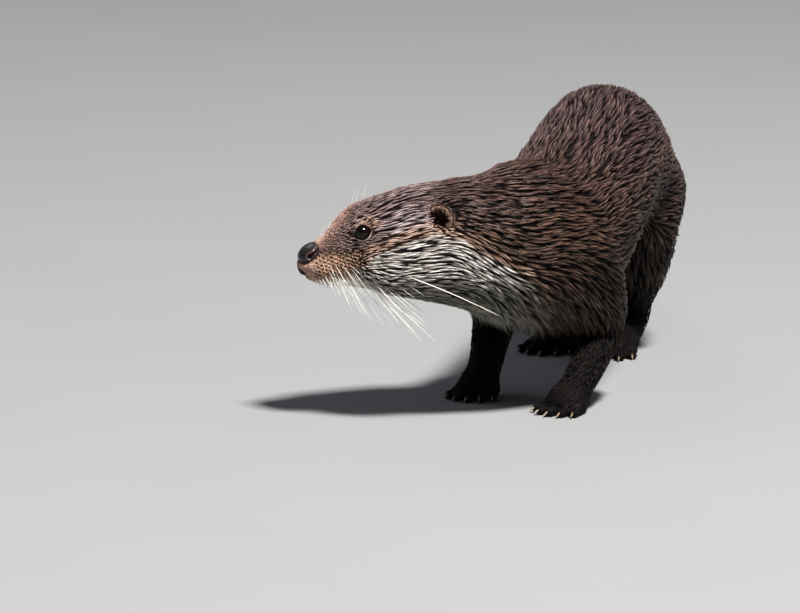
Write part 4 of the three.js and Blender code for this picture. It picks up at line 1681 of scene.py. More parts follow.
def spindle_faces(rings: int, sides: int) -> Array:
    """Triangles of a closed spindle: a fan from its root, pairs between rings and a fan to its tip.

    Args:
        rings: between its root and its tip.
        sides: of the cross-section.

    Returns:
        (m, 3) corners.
    """
    side = np.arange(sides)
    after = (side + 1) % sides
    faces = [np.stack([0 * side, 1 + side, 1 + after], axis=1)]
    for ring in range(rings - 1):
        one, other = 1 + ring * sides + side, 1 + ring * sides + after
        faces.append(np.stack([one, one + sides, other + sides], axis=1))
        faces.append(np.stack([one, other + sides, other], axis=1))
    last = 1 + (rings - 1) * sides
    faces.append(np.stack([last + side, last + sides + 0 * side, last + after], axis=1))
    return np.concatenate(faces)


def spindle_points(
    centre: Array,
    sideways: Array,
    upright: Array,
    wide: Array,
    tall: Array,
    profile: Array,
) -> Array:
    """Corners of spindles: a root point, rings of a profile square to the path, and a tip point.

    Args:
        centre: (..., k, 3) stations along the path.
        sideways: (..., k, 3) unit directions across it.
        upright: (..., k, 3) unit directions square to both.
        wide: (..., k) half width at each station.
        tall: (..., k) half height.
        profile: (s, 2) corners in those two directions.

    Returns:
        (..., (k - 2) s + 2, 3) places.
    """
    across = (sideways * wide[..., None])[..., 1:-1, None, :] * profile[:, :1]
    above = (upright * tall[..., None])[..., 1:-1, None, :] * profile[:, 1:]
    corners = centre[..., 1:-1, None, :] + across + above
    flat = corners.reshape(*corners.shape[:-3], -1, 3)
    return np.concatenate([centre[..., :1, :], flat, centre[..., -1:, :]], axis=-2)


def spindle_values(values: Array, sides: int) -> Array:
    """Values (..., k, c) of the stations, given to the corners of the spindles."""
    rings = np.repeat(values[..., 1:-1, :], sides, -2)
    return np.concatenate([values[..., :1, :], rings, values[..., -1:, :]], -2)


def curved(starts: Array, ways: Array, bends: Array, shares: Array) -> Array:
    """Paths (n, k, 3) that leave along ways and bend with the square of the share of their length."""
    t = shares[None, :, None]
    return starts[:, None] + ways[:, None] * t + bends[:, None] * t * t


def round_spindles(path: Array, radii: Array, sides: int) -> Array:
    """Corners of round spindles.

    Args:
        path: (n, k, 3) stations.
        radii: (n, k).
        sides: of the cross-section.

    Returns:
        (n, (k - 2) sides + 2, 3) places.
    """
    tangent = unit(np.gradient(path, axis=1))
    sideways = unit(np.cross(tangent, UP + np.array([0.01, 0.02, 0])))
    upright = np.cross(tangent, sideways)
    return spindle_points(path, sideways, upright, radii, radii, round_profile(sides))


def strand_mesh(name: str, points: Array, colours: Array, sides: int) -> Mesh:
    """A painted mesh of spindles.

    Args:
        name: of the mesh.
        points: (n, c, 3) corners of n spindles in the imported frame.
        colours: (n, c, 3) of the corners, or (c, 3) where all are alike.
        sides: of the cross-section.

    Returns:
        The mesh.
    """
    count, size, _ = points.shape
    faces = np.arange(count)[:, None, None] * size + spindle_faces((size - 2) // sides, sides)
    mesh = new_mesh(name, points.reshape(-1, 3), faces.reshape(-1, 3))
    paint(mesh, np.broadcast_to(colours, points.shape).reshape(-1, 3))
    return mesh


# ---- the coat


class Region(Enum):
    """Parts of the animal that are given their own pieces of coat."""

    HEAD = 0
    BODY = 1
    TAIL = 2
    LEGS = 3
    FEET = 4


def regions(points: Array) -> Array:
    """Which part of the animal places belong to.

    Args:
        points: (n, 3) in mm.

    Returns:
        (n,) values of Region.
    """
    region = np.full(len(points), Region.BODY.value)
    region[points[:, 1] > 318] = Region.TAIL.value
    legs = (points[:, 2] < 62) & (points[:, 1] < 290)
    region[legs] = Region.LEGS.value
    region[legs & (points[:, 2] < 17)] = Region.FEET.value
    region[HEAD.local(points)[:, 0] < 112] = Region.HEAD.value
    return region


class Stations(Enum):
    """Shares of a strand's length where it has its root, its rings and its tip."""

    FINE = (0.0, 0.3, 0.65, 1.0)
    PLAIN = (0.0, 0.42, 1.0)


@dataclass(frozen=True)
class Fleece:
    """One part of the coat.

    strand: half the width of its strands, in mm.
    cover: how many times over the locks cover the skin.
    """

    name: str
    slot: Slot
    region: Region
    strand: float
    stations: Stations
    cover: float


FLEECES = (
    Fleece("coat_head", Slot.FACE, Region.HEAD, 0.17, Stations.FINE, 2.8),
    Fleece("coat_body", Slot.BODY, Region.BODY, 0.225, Stations.FINE, 2.6),
    Fleece("coat_tail", Slot.TAIL, Region.TAIL, 0.3, Stations.FINE, 2.0),
    Fleece("coat_legs", Slot.BODY, Region.LEGS, 0.27, Stations.FINE, 2.0),
    Fleece("coat_feet", Slot.FOOT, Region.FEET, 0.25, Stations.PLAIN, 1.3),
)


def morton_order(points: Array, cell: float) -> Array:
    """An order in which neighbours follow each other: by the interleaved bits of their cells.

    Args:
        points: (n, 3).
        cell: size of a cell.

    Returns:
        (n,) indices.
    """
    cells = np.floor((points - points.min(0)) / cell).astype(np.int64)
    key = np.zeros(len(points), np.int64)
    for bit in range(10):
        for axis in range(3):
            key |= ((cells[:, axis] >> bit) & 1) << (3 * bit + axis)
    return np.argsort(key, kind="stable")


@dataclass
class Pelt:
    """The whole coat of wet locks."""

    flesh: Flesh
    face: Face
    skin: Skin
    placing: Placing
    random: np.random.Generator
    share: float = 1.0

    def roots(self, fleece: Fleece) -> tuple[Array, Array]:
        """Scatters the roots of locks over the skin: one for every lock's width times length over cover.

        Args:
            fleece: which part of the coat.

        Returns:
            Places and the lock's traits there.
        """
        corners = self.skin.places[self.skin.triangles]
        corners = corners[regions(corners.mean(1)) == fleece.region.value]
        corners = corners[morton_order(corners.mean(1), 1.5)]
        centres = corners.mean(1)
        across = np.cross(corners[:, 1] - corners[:, 0], corners[:, 2] - corners[:, 0])
        survey = self.flesh.survey(centres)
        depth, length, width = survey.coat.T
        length = np.minimum(length, self.face.room(centres))
        width = np.minimum(width, 0.5 + 0.4 * length)
        number = lengths(across) / 2 * fleece.cover / (length * width)
        number *= (1 - self.face.hairless(centres)) * (centres[:, 2] > 1.0) * self.share
        reached = np.cumsum(number)
        marks = np.arange(1, int(reached[-1]) - 1)
        triangle = np.searchsorted(reached, marks + self.random.uniform(-0.35, 0.35, len(marks)))
        u, v = self.random.random((2, len(marks)))
        flip = u + v > 1
        u, v = np.where(flip, 1 - u, u), np.where(flip, 1 - v, v)
        a, b, c = np.moveaxis(corners[triangle], 1, 0)
        traits = np.stack([depth * np.minimum(length / 4, 1) ** 0.5, length, width], axis=1)
        return a + (b - a) * u[:, None] + (c - a) * v[:, None], traits[triangle]

    def lie(self, points: Array, normals: Array) -> Array:
        """The way hair points: to the tail or toes, drooping down the sides, turned aside by eyes and ears,
        and swaying in waves that neighbours share, all laid flat on the skin.

        Args:
            points: places on the skin.
            normals: unit normals there.

        Returns:
            Unit directions.
        """
        survey = self.flesh.survey(points)
        back, _, up = HEAD.local(points).T
        sideways = 1 - np.abs(normals[:, 2])
        droop = 0.62 * ramp(102, 122, back) * ramp(178, 140, back)
        droop -= 0.12 * ramp(160, 180, back)
        droop += 0.3 * ramp(125, 95, points[:, 2]) * ramp(140, 170, back)
        droop += 0.75 * ramp(-14, -36, up) * ramp(120, 90, back) * ramp(50, 70, back)
        droop -= 0.3 * bell(back - 88, 16) * ramp(8, 20, up)
        droop *= sideways
        droop += 0.8 * ramp(46, 28, back) * ramp(4, -4, up)
        flank = ramp(-45, 10, points[:, 1]) * ramp(40, 110, points[:, 2])
        flank *= ramp(0.45, 0.8, np.abs(normals[:, 0])) * ramp(250, 215, points[:, 1])
        way = survey.lie - UP * droop[:, None]
        way += ([0, 1, 0] - way) * (0.85 * flank)[:, None]
        way += self.face.parting(points)
        across = unit(np.cross(normals, way))
        turn = 0.24 * smooth_noise(points, 15, 7) + 0.14 * smooth_noise(points, 6, 8)
        way = way + across * (turn * lengths(way))[:, None]
        return unit(way - normals * (way * normals).sum(1)[:, None])

    def paths(self, roots: Array, length: Array) -> tuple[Array, Array, Array]:
        """Middle lines of the locks, by steps of 0.35 of their length from 0.2 of it before the root.

        Args:
            roots: (n, 3) places.
            length: (n,) of the locks.

        Returns:
            Places, normals and directions, each (n, 5, 3).
        """
        places, normals = self.flesh.settle(roots, 1)
        ways = self.lie(places, normals)
        places, normals = self.flesh.settle(places - ways * (0.2 * length)[:, None], 1)
        line, square, along = [], [], []
        for _ in range(5):
            ways = self.lie(places, normals)
            line.append(places)
            square.append(normals)
            along.append(ways)
            places, normals = self.flesh.settle(places + ways * (0.35 * length)[:, None], 1)
        places, normals = np.concatenate(line), np.concatenate(square)
        places = self.face.folded(places, normals).reshape(5, -1, 3)
        return places.transpose(1, 0, 2), np.stack(square, 1), np.stack(along, 1)

    def hang(self, points: Array, normals: Array) -> Array:
        """How far the tips hang down from the undersides of throat, belly and thighs.

        Args:
            points: (n, 3) in mm.
            normals: unit normals there.

        Returns:
            (n,) in mm.
        """
        under = ramp(-0.1, -0.75, normals[:, 2]) * ramp(48, 62, points[:, 2])
        under *= ramp(100, 135, HEAD.local(points)[:, 0])
        throat = 1 + 0.8 * ramp(215, 180, HEAD.local(points)[:, 0])
        rear = ramp(0.2, 0.8, normals[:, 1]) * ramp(130, 100, points[:, 2]) * (points[:, 2] > 30)
        rear *= ramp(-60, -10, points[:, 1]) * ramp(330, 280, points[:, 1])
        return 4.5 * under * throat + 2.5 * rear

    def build(self, fleece: Fleece, material: Material) -> None:
        """Makes one part of the coat.

        A lock is a bunch of strands that start side by side and draw together to a point. A strand is a
        pointed three-sided spindle that rises from the skin to the coat's outline.

        Args:
            fleece: which part.
            material: its finish.
        """
        roots, traits = self.roots(fleece)
        count = len(roots)
        depth, length, width = traits.T
        length = length * np.clip(1 + 0.2 * self.random.normal(0, 1, count), 0.6, 1.5)
        line, square, along = self.paths(roots, length)
        strands = np.clip(np.round(0.55 * width / fleece.strand), 3, 12).astype(int)
        lock = np.repeat(np.arange(count), strands)
        first_one = np.repeat(np.cumsum(strands) - strands, strands)
        offset = (np.arange(len(lock)) - first_one + 0.5) / strands[lock] * 2 - 1 + self._vary(lock, 0.12)
        shares = np.array(fleece.stations.value)
        middle = (1 - np.clip(offset, -1, 1) ** 2)[:, None]
        reach = 2.85 * (0.8 + 0.14 * middle + self._vary(lock, 0.1)[:, None])
        place = 0.3 + self._vary(lock, 0.3)[:, None] + reach * shares
        first = np.minimum(place.astype(int), 3)
        part = (place - first)[..., None]
        which = lock[:, None]
        centre, normal, way = (
            row[which, first] * (1 - part) + row[which, first + 1] * part
            for row in (line, square, along)
        )
        normal, way = unit(normal), unit(way)
        across = np.cross(normal, way)
        gather = np.interp(shares, (0, 0.3, 0.65, 1), (1.0, 0.75, 0.34, 0.04))
        spread = offset[:, None] * gather * 0.58 * width[which]
        stand = np.clip(self.random.normal(0.85, 0.16, count), 0.4, 1.25)[which]
        stand = stand + self._vary(lock, 0.1)[:, None]
        lift = np.interp(shares, (0, 0.3, 0.65, 1), (-0.15, 0.5, 0.88, 1.0))
        ridge = np.interp(shares, (0, 0.3, 0.65, 1), (0.1, 0.24, 0.2, 0.0))
        rise = depth[which] * lift * stand + ridge * width[which] * middle
        centre = centre + across * spread[..., None] + normal * rise[..., None]
        drop = self.hang(roots, square[:, 1]) * self.random.uniform(0.1, 1.6, count)
        centre = centre - UP * (drop[which] * shares**2)[..., None]
        centre[..., 2] = np.maximum(centre[..., 2], HAIR_OFF_FLOOR)
        roll = (0.6 * offset + self._vary(lock, 0.4))[:, None, None]
        sideways = across * np.cos(roll) - normal * np.sin(roll)
        upright = normal * np.cos(roll) + across * np.sin(roll)
        thick = fleece.strand * (1 + self._vary(lock, 0.25))[:, None] * np.minimum(width / 1.2, 1)[which]
        wide = thick * np.interp(shares, (0, 0.3, 0.65, 1), (0.7, 1.0, 0.8, 0.0))
        points = spindle_points(centre, sideways, upright, wide, wide * 0.8, FLAT_PROFILE)
        hues = markings(roots, square[:, 1])
        tint = spindle_values(self._tints(hues, length, lock, shares, middle), 3)
        spots = self.face.pad_spots(points.reshape(-1, 3)).reshape(*tint.shape[:-1], 1)
        tint = tint * (1 - 0.95 * spots)
        self._show(fleece, material, points, tint, self._bake_places(roots, lock, shares))
        LOG.info("%s: %d locks, %d strands", fleece.name, count, len(lock))

    def _show(self, fleece: Fleece, material: Material, points: Array, tint: Array, bake: Array) -> None:
        """Adds strands as pieces that are each small enough.

        Args:
            fleece: which part of the coat.
            material: its finish.
            points: (n, c, 3) corners.
            tint: (n, c, 3) their colours.
            bake: (n, c, 2) their places on the bake's sheet.
        """
        triangles = 2 * len(points) * (points.shape[1] - 2)
        pieces = math.ceil(triangles / MOST_TRIANGLES)
        for number, chunk in enumerate(np.array_split(np.arange(len(points)), pieces)):
            name = f"{fleece.name}_{number + 1}"
            mesh = strand_mesh(name, self.placing.metres(points[chunk]), tint[chunk], 3)
            corners = read(mesh.loops, "vertex_index", 1, np.int32)[:, 0]
            layer = mesh.uv_layers.new(name="OFBake")
            layer.data.foreach_set("uv", bake[chunk].reshape(-1, 2)[corners].astype(np.float32).ravel())
            add_piece(mesh, material, fleece.slot)

    def _vary(self, like: Array, most: float) -> Array:
        """Even random values, one for each of some others, from -most to most."""
        return self.random.uniform(-most, most, len(like))

    def _tints(
        self, hues: Array, length: Array, lock: Array, shares: Array, middle: Array
    ) -> Array:
        """Colours along every strand, from root to tip. Strands at a lock's edges lie in its shade, and
        some locks catch more light than others.

        Args:
            hues: (n, 3, 3) colours of root, middle and tip for each lock.
            length: (n,) of the locks.
            lock: (m,) the lock of each strand.
            shares: (k,) stations.
            middle: (m, 1) is 1 in the middle of a lock and 0 at its edge.

        Returns:
            (m, k, 3) colours.
        """
        weights = np.stack([np.interp(shares, (0.08, 0.5, 0.95), row) for row in np.eye(3)])
        tint = np.einsum("nkc,kv->nvc", hues[lock], weights)
        light = np.exp(0.27 * self.random.normal(0, 1, len(length)))[lock]
        light = np.clip(light * (1 + 0.15 * self.random.normal(0, 1, len(lock))), 0.35, 2.0)
        clumped = ramp(3, 9, length)[lock]
        shade = 1 - clumped * (0.8 - 0.92 * middle[:, 0] ** 1.2)
        return tint * (light * shade)[:, None, None]

    def _bake_places(self, roots: Array, lock: Array, shares: Array) -> Array:
        """Each strand as a patch 0.003 across, where its root is on the skin laid out by length and girth.

        Args:
            roots: (n, 3) places of the locks.
            lock: (m,) the lock of each strand.
            shares: (k,) stations.

        Returns:
            (m, c, 2) places of the strands' corners.
        """
        survey = self.flesh.survey(roots)
        limbs = regions(roots) >= Region.LEGS.value
        body = np.stack([survey.progress, 0.8 * survey.turn], axis=1)
        leg = (roots[:, 0] > 0) + 2.0 * (roots[:, 1] > 120)
        angle = np.arctan2(roots[:, 0] % 40 - 20, roots[:, 1] % 60 - 30) / (2 * math.pi) + 0.5
        legs = np.stack([(leg + roots[:, 2] / 66) / 4, 0.82 + 0.17 * angle], axis=1)
        home = np.clip(np.where(limbs[:, None], legs, body), 0.004, 0.996)[lock, None]
        scatter = self.random.uniform(-0.0025, 0.0025, (len(lock), 1, 2))
        wide = np.concatenate([[0.0], np.tile([-1.0, 0.0, 1.0], len(shares) - 2), [0.0]])
        long = spindle_values(shares[:, None], 3)[:, 0]
        return home + scatter + np.stack([wide * 0.0015, (long - 0.5) * 0.003], axis=1)


# ---- eyes, nose, ears, claws and whiskers


def round_grid(rows: int, columns: int) -> tuple[Array, Array]:
    """Two parameters of a round surface: from 0 to 1 by rows, and through a full turn by columns."""
    turn = np.linspace(0, 2 * math.pi, columns, endpoint=False)
    return np.broadcast_arrays(np.linspace(0, 1, rows)[:, None], turn[None])


def round_mesh(name: str, points: Array) -> Mesh:
    """A closed mesh from a grid whose first and last rows are welded to poles.

    Args:
        name: of the mesh.
        points: (rows, columns, 3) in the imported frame.

    Returns:
        The mesh.
    """
    rows, columns, _ = points.shape
    index = np.arange(rows * columns).reshape(rows, columns)
    right = np.roll(index, -1, axis=1)
    faces = np.stack([index[:-1], index[1:], right[1:], right[:-1]], axis=-1).reshape(-1, 4)
    mesh = new_mesh(name, points.reshape(-1, 3), faces)
    work = bmesh.new()
    work.from_mesh(mesh)
    bmesh.ops.remove_doubles(work, verts=work.verts, dist=1e-7)
    bmesh.ops.recalc_face_normals(work, faces=work.faces)
    work.to_mesh(mesh)
    work.free()
    return mesh


@dataclass
class Eyes:
    """Both eyes: a ball with a raised cornea over the iris."""

    face: Face
    placing: Placing
    bulge: float = 0.5

    def build(self, material: Material) -> None:
        """Turns a profile round each eye's axis: radius by angle, with a bell for the cornea.

        Args:
            material: finish of the eyes.
        """
        step, turn = round_grid(41, 64)
        tilt = step * math.pi
        radius = EYE_RADIUS + self.bulge * bell(tilt, 0.62)
        for name, eye in zip(SIDES, self.face.eyes):
            across = radius * np.sin(tilt)
            points = eye.place(across * np.cos(turn), across * np.sin(turn), radius * np.cos(tilt))
            mesh = round_mesh(f"eyeball_{name}", self.placing.metres(points))
            away, angle, height = eye.split(self.placing.own(mesh))
            off = np.arctan2(away, height)
            spokes = 0.8 + 0.4 * np.abs(np.sin(19 * angle))
            iris = ramp(0.36, 0.42, off) * ramp(0.84, 0.72, off)
            pupil = srgb("#020202")
            paint(mesh, pupil + (srgb("#0d0807") * spokes[:, None] - pupil) * iris[:, None])
            add_piece(mesh, material, Slot.EYE, [f"eye_{name}"])


@dataclass
class Nose:
    """The bare nose pad with its two comma-shaped nostrils and the groove between them.

    bulb and tail: the two ends of a nostril, back and up in the head's frame.
    """

    placing: Placing
    radii: Triple = (10.4, 12.6, 7.0)
    bulb: tuple[float, float] = (7.4, 1.2)
    tail: tuple[float, float] = (13.2, 6.0)

    def nostril(self, local: Array) -> tuple[Array, Array]:
        """A nostril: in side view a line with a round bulb at its front end.

        Args:
            local: (..., 3) places in the head's frame.

        Returns:
            How deep in it they are, from 0 to 1, and how far out on its fleshy rim.
        """
        start, end = np.array(self.bulb), np.array(self.tail)
        along = end - start
        off = np.stack([local[..., 0], local[..., 2]], axis=-1) - start
        share = np.clip((off * along).sum(-1) / (along @ along), 0, 1)
        away = lengths(off - share[..., None] * along)
        side = ramp(3.5, 6.0, np.abs(local[..., 1]))
        size = 1.9 - 1.15 * ramp(0.05, 0.6, share)
        return side * ramp(1.15, 0.55, away / size), side * bell(away - size - 0.8, 0.7)

    def build(self, material: Material) -> None:
        """An ellipsoid whose points are pushed in at the nostrils and along the middle.

        Args:
            material: finish of the nose.
        """
        step, turn = round_grid(121, 160)
        tilt = step * math.pi
        flat = np.stack([-np.cos(tilt), np.sin(tilt) * np.cos(turn), np.sin(tilt) * np.sin(turn)], axis=-1)
        square = 1 + 0.1 * np.abs(flat[..., 1] * flat[..., 2]) ** 0.8
        local = flat * np.array(self.radii) * square[..., None] @ NOSE_AXES + np.array(NOSE_AT)
        inward = -unit(flat / np.array(self.radii)) @ NOSE_AXES
        pit, rim = self.nostril(local)
        groove = bell(local[..., 1], 0.7) * ramp(3, -3, local[..., 2])
        local = local + inward * (3.2 * pit - 0.5 * rim + 0.7 * groove)[..., None]
        mesh = round_mesh("nose_leather", self.placing.metres(HEAD.origin + local @ HEAD.axes))
        corners = HEAD.local(self.placing.own(mesh))
        pit, rim = self.nostril(corners)
        behind = ramp(11, 15.5, corners[:, 0]) * ramp(8, 5, corners[:, 2])
        colours = blended("#171516", "#75504f", np.maximum(0.45 * rim, behind)[:, None])
        # The nostrils are painted dark red inside: the flesh's own colour, darkened as painted shade in the
        # hole.
        paint(mesh, laid(colours, "#2a0c0d", pit))
        add_piece(mesh, material, Slot.NOSE, ["nose_pad"])


@dataclass
class Ears:
    """Both ears: small round cups with a rolled furry rim, open forwards and outwards."""

    face: Face
    placing: Placing
    random: np.random.Generator
    hairs: int = 4200
    hair_radius: float = 0.125

    def shape(self, ear: Socket, step: Array, turn: Array) -> Array:
        """The cup's surface, turned round its axis.

        Args:
            ear: where it sits.
            step: 0 in the middle of its back, 0.45 at the rim and 1 in the middle of its bowl.
            turn: the angle, from ahead towards above.

        Returns:
            Places, one for each step and turn.
        """
        outer = step < 0.45
        sweep = np.where(outer, step / 0.45, (1 - step) / 0.55) * math.pi / 2
        hollow = EAR_RADIUS - EAR_WALL
        radius = np.where(outer, EAR_RADIUS, hollow) * np.sin(sweep)
        level = np.where(outer, 0, EAR_WALL * 0.7) - EAR_DEPTH * np.cos(sweep)
        notch = bell(np.angle(np.exp(1j * (turn + 2.3))), 0.24)
        rise = np.sin(sweep) ** 3 * (1.5 * ramp(-0.6, 0.9, np.sin(turn + 0.6)) - 2.6 * notch)
        fold = ~outer * bell(step - 0.7, 0.09) * bell(np.angle(np.exp(1j * (turn + 1.9))), 0.55)
        roll = bell(step - 0.47, 0.05)
        radius = radius * (1 - 0.1 * notch) + 0.3 * roll - 2.2 * fold
        return ear.place(radius * np.cos(turn), radius * np.sin(turn), level + rise + 0.3 * roll)

    def build(self, skin: Material, hair: Material) -> None:
        """Makes the cups, dark inside, and the short fur on their backs and rims.

        Args:
            skin: finish of the cup.
            hair: finish of the fur.
        """
        step, turn = round_grid(44, 72)
        for name, ear in zip(SIDES, self.face.ears):
            mesh = round_mesh(f"ear_cup_{name}", self.placing.metres(self.shape(ear, step, turn)))
            radius = ear.split(self.placing.own(mesh))[0]
            inner = ramp(EAR_RADIUS - 0.4, EAR_RADIUS - 2.2, radius)
            paint(mesh, blended("#4d372c", "#3a251b", inner[:, None]))
            add_piece(mesh, skin, Slot.FACE, [f"ear_{name}"])
            self._fur(name, ear, hair)

    def _fur(self, name: str, ear: Socket, material: Material) -> None:
        """Hairs that lie on the back of the cup and stand a little over its rim, with some in the bowl.

        Args:
            name: of the side.
            ear: where it sits.
            material: finish of the fur.
        """
        count = self.hairs
        behind = self.random.uniform(0.2, 0.5, 2 * count // 3)
        step = np.concatenate([behind, self.random.uniform(0.4, 0.76, count // 3)])
        turn = self.random.uniform(0, 2 * math.pi, count)
        roots = self.shape(ear, step, turn)
        onward = unit(self.shape(ear, step + 0.03, turn) - roots)
        round_ = unit(self.shape(ear, step, turn + 0.03) - roots)
        outward = unit(np.cross(round_, onward))
        outward *= np.sign((outward * (roots - ear.centre + ear.axis * 4)).sum(1) * (0.5 - step))[:, None]
        rim = ramp(0.36, 0.45, step) * ramp(0.56, 0.5, step)
        inside = ramp(0.5, 0.56, step)
        sway = 0.5 * np.sin(9 * turn + 14 * step)[:, None] + self.random.normal(0, 0.22, (count, 1))
        length = (2.6 + 1.3 * rim + 0.6 * inside) * self.random.uniform(0.5, 1.3, count)
        ways = onward * (1 - 1.6 * inside)[:, None] + outward * (0.3 + 0.5 * rim + 0.3 * inside)[:, None]
        ways = unit(ways + round_ * sway + HEAD.axes[0] * 0.25)
        shares = np.array(Stations.FINE.value)
        bends = onward * (0.5 * length * rim)[:, None]
        path = curved(roots - outward * 0.2, ways * length[:, None], bends, shares)
        tangent = unit(np.gradient(path, axis=1))
        sideways = unit(np.cross(outward[:, None], tangent))
        wide = self.hair_radius * np.interp(shares, (0, 0.3, 1), (0.7, 1, 0)) * np.ones((count, 1))
        above = np.cross(tangent, sideways)
        points = spindle_points(path, sideways, above, wide, wide * 0.7, FLAT_PROFILE)
        # Painted light: tips on the upper part of the rim are pale pink, as if lit from above.
        top = ramp(-0.3, 0.5, np.sin(turn + 0.5))
        tips = laid(blended("#6b4f41", "#f6cdb9", (rim * top)[:, None]), "#8a6650", inside)
        tint = srgb("#1b1310") + (tips[:, None] - srgb("#1b1310")) * shares[None, :, None]
        tint = spindle_values(tint * self.random.uniform(0.6, 1.25, (count, 1, 1)), 3)
        mesh = strand_mesh(f"ear_fur_{name}", self.placing.metres(points), tint, 3)
        add_piece(mesh, material, Slot.FACE)


@dataclass
class Claws:
    """Twenty short curved claws, one on top of each toe."""

    flesh: Flesh
    placing: Placing
    radius: float = 1.2
    sides: int = 10

    def build(self, material: Material) -> None:
        """One piece of five claws for each foot: round spindles that bend down towards their points.

        Args:
            material: finish of the claws.
        """
        shares = np.linspace(0, 1, 13)
        taper = np.sqrt(np.interp(shares, (0, 0.08, 1), (0.5, 1, 0.012)))
        radii = self.radius * taper[None] * np.ones((5, 1))
        for foot in self.flesh.feet:
            starts, tips = np.array([foot.claw(number) for number in range(5)]).transpose(1, 0, 2)
            starts = starts - unit(tips - starts) * 1.5
            arch = UP * 2.6
            path = curved(starts, tips - starts + arch, np.repeat(-arch[None], 5, axis=0), shares)
            points = self.placing.metres(round_spindles(path, radii, self.sides))
            tone = ramp(0.1, 0.8, spindle_values(shares[:, None], self.sides))
            colours = blended("#2c221c", "#85745e", tone)
            mesh = strand_mesh(f"claws_{foot.limb.foot_name}", points, colours, self.sides)
            add_piece(mesh, material, Slot.CLAW)


@dataclass(frozen=True)
class Bristle:
    """A whisker before it is bent: its root and direction in the head's frame, and its sizes in mm."""

    root: Triple
    way: Triple
    length: float
    radius: float


@dataclass
class Whiskers:
    """Stiff white whiskers in rows on both pads, a few over the eyes, and bristles round the mouth."""

    flesh: Flesh
    placing: Placing
    random: np.random.Generator
    rows: int = 6
    per_row: int = 8
    lip_bristles: int = 190
    sides: int = 5

    def pad(self) -> list[Bristle]:
        """The rows of a pad, longer towards the back, where one is much the longest.

        Returns:
            The bristles.
        """
        made = []
        for row in range(self.rows):
            for place in range(self.per_row):
                back = 19 + 4.8 * place + 1.4 * (row % 2)
                up = -2.5 - 2.5 * row - 0.3 * place
                rear = place / (self.per_row - 1)
                way = (0.3 + 0.5 * rear, 0.4, -0.8 + 0.25 * rear - 0.03 * row)
                length = 13 + 41 * rear**0.7 + 1.2 * row
                made.append(Bristle((back, 20 + 0.5 * place, up), way, length, 0.15 + 0.13 * rear))
        made.append(Bristle((57, 44, -8), (0.9, 0.3, -0.36), 84, 0.42))
        return made

    def brow(self) -> list[Bristle]:
        """The few above the eye and on the snout."""
        spots = ((40, 10, 34), (44, 12, 36), (49, 9, 38), (17, 4, 12), (22, 6, 17))
        return [Bristle(spot, (0.25, 0.2, 0.9), 17 if spot[0] > 30 else 9, 0.11) for spot in spots]

    def lips(self) -> list[Bristle]:
        """Short hairs that hang over the mouth along the lower edge of the pads, and on the chin.

        Returns:
            The bristles.
        """
        made = []
        for back, across, drop in self.random.random((self.lip_bristles, 3)):
            place = (9 + 40 * back, 9 + 14 * across, -12.5 - 6 * drop)
            way = (0.35 + 0.35 * back, 0.35, -0.9)
            made.append(Bristle(place, way, 3.5 + 4.5 * across, 0.22))
        return made

    def build(self, material: Material) -> None:
        """Sets every bristle on both sides and bends it down along its length.

        Args:
            material: finish of the whiskers.
        """
        bristles = [(b, side) for side in SIDES.values() for b in (*self.pad(), *self.brow(), *self.lips())]
        roots = np.array([HEAD.point(b.root, side) for b, side in bristles])
        ways = np.array([HEAD.vector(b.way, side) for b, side in bristles])
        length = np.array([b.length for b, _ in bristles]) * self.random.uniform(0.82, 1.15, len(bristles))
        ways = unit(ways + self.random.normal(0, 0.08, ways.shape))
        roots, _ = self.flesh.settle(roots, 5, 6.0)
        shares = np.linspace(0, 1, 10)
        bends = (HEAD.axes[0] * 0.05 - UP * 0.13) * length[:, None]
        path = curved(roots - ways, ways * length[:, None], bends, shares)
        radii = np.array([b.radius for b, _ in bristles])[:, None] * np.sqrt(1 - 0.96 * shares[None])
        points = self.placing.metres(round_spindles(path, radii, self.sides))
        tone = ramp(0.08, 0.4, spindle_values(shares[:, None], self.sides))
        colours = blended("#6e5340", "#fffdf6", tone)
        add_piece(strand_mesh("whiskers", points, colours, self.sides), material, Slot.WHISKER)


# ---- the studio


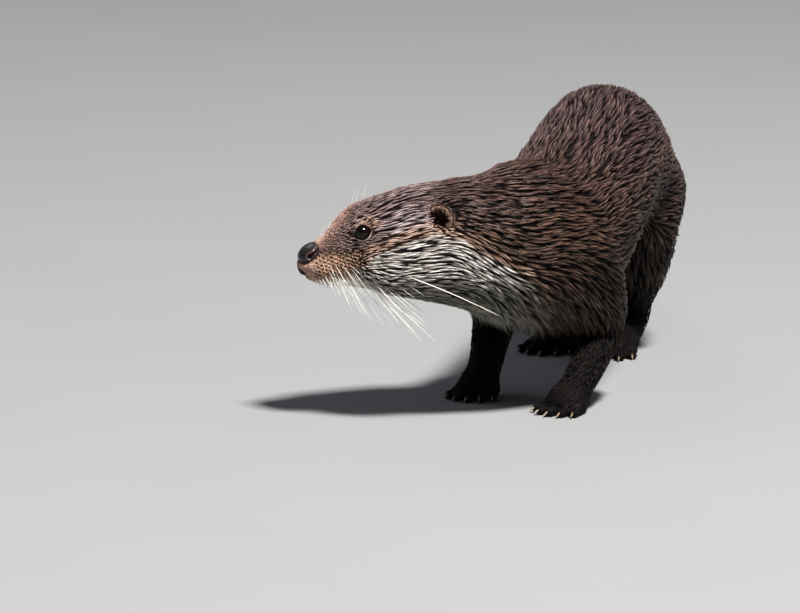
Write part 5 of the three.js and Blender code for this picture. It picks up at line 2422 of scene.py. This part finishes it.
@dataclass(frozen=True)
class Studio:
    """Floor, lights and camera.

    azimuth and elevation are the camera's, in degrees. It aims to the right of the nose and below it.
    """

    placing: Placing
    azimuth: float = 13.0
    elevation: float = 10.0
    distance_mm: float = 4000.0
    lens_mm: float = 246.55
    aim_right_mm: float = 73.7
    aim_below_mm: float = 36.1

    def camera(self) -> None:
        """A long lens, level with the animal's back."""
        turn, lift = math.radians(self.azimuth), math.radians(self.elevation)
        right = np.array([math.cos(turn), math.sin(turn), 0])
        level = np.array([-math.sin(turn), math.cos(turn), 0])
        ahead = level * math.cos(lift) - UP * math.sin(lift)
        above = np.cross(right, ahead)
        aim = NOSE_TIP + right * self.aim_right_mm - above * self.aim_below_mm
        place = self.placing.metres((aim - ahead * self.distance_mm)[None])[0]
        data = bpy.data.cameras.new("camera")
        data.lens, data.sensor_width, data.clip_end = self.lens_mm, 36.0, 100.0
        camera = bpy.data.objects.new("camera", data)
        axes = Matrix((right, above, -ahead)).transposed()
        camera.matrix_world = Matrix.Translation(Vector(place)) @ axes.to_4x4()
        bpy.context.scene.collection.objects.link(camera)
        bpy.context.scene.camera = camera

    def lamp(self, name: str, way: Triple, reach: float, size: float, power: float, tone: str) -> None:
        """A square soft light that shines on the animal.

        Args:
            name: of the light.
            way: direction from the animal to the light.
            reach: distance in metres.
            size: its side in metres.
            power: in watts.
            tone: its colour.
        """
        data = bpy.data.lights.new(name, "AREA")
        data.energy, data.size = power, size
        data.color = tuple(srgb(tone))
        lamp = bpy.data.objects.new(name, data)
        aim = Vector((-0.05, -0.2, 0.12))
        place = aim + Vector(way).normalized() * reach
        lamp.location = place
        lamp.rotation_euler = (aim - place).to_track_quat("-Z", "Y").to_euler()
        bpy.context.scene.collection.objects.link(lamp)

    def build(self) -> None:
        """Floor, world, lights and camera."""
        points = np.array([[-9, -9, 0], [9, -9, 0], [9, 9, 0], [-9, 9, 0]], float)
        mesh = new_mesh("studio_floor", points, np.array([[0, 1, 2, 3]]), smooth=False)
        mesh.materials.append(StudioFloor().build())
        floor = bpy.data.objects.new("studio_floor", mesh)
        bpy.context.scene.collection.objects.link(floor)
        world = bpy.data.worlds.new("studio")
        world.use_nodes = True
        world.node_tree.nodes["Background"].inputs["Color"].default_value = (*srgb("#dfe4ea"), 1)
        world.node_tree.nodes["Background"].inputs["Strength"].default_value = 0.15
        bpy.context.scene.world = world
        self.lamp("key", (0.5, -0.5, 1.35), 6.0, 0.9, 900, "#fffaf5")
        self.lamp("rim", (-0.6, 0.8, 0.9), 5.0, 1.8, 25, "#eef2ff")
        bpy.context.scene.view_settings.view_transform = "Standard"
        self.camera()


# ---- the whole model


def main() -> None:
    """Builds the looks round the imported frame."""
    logging.basicConfig(level=logging.INFO, format="%(name)s %(message)s")
    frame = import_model()
    placing = Placing.of_frame(frame)
    random = np.random.default_rng(SEED)
    flesh, face = Flesh(), Face()
    Studio(placing).build()
    skin = Skin(flesh, face, placing)
    skin.build(DampSkin().build())
    hair = WetGuardHair().build()
    drained = WetGuardHair("drained_leg_hair", 0.55, 1.22, 0.0).build()
    pelt = Pelt(flesh, face, skin, placing, random, 1.0)
    for fleece in FLEECES:
        pelt.build(fleece, drained if fleece.region in (Region.LEGS, Region.FEET) else hair)
    Eyes(face, placing).build(MoistEye().build())
    Nose(placing).build(NoseLeather().build())
    Ears(face, placing, random).build(DampSkin().build(), hair)
    Claws(flesh, placing).build(Horn().build())
    Whiskers(flesh, placing, random).build(WhiskerKeratin().build())


if __name__ == "__main__":
    main()
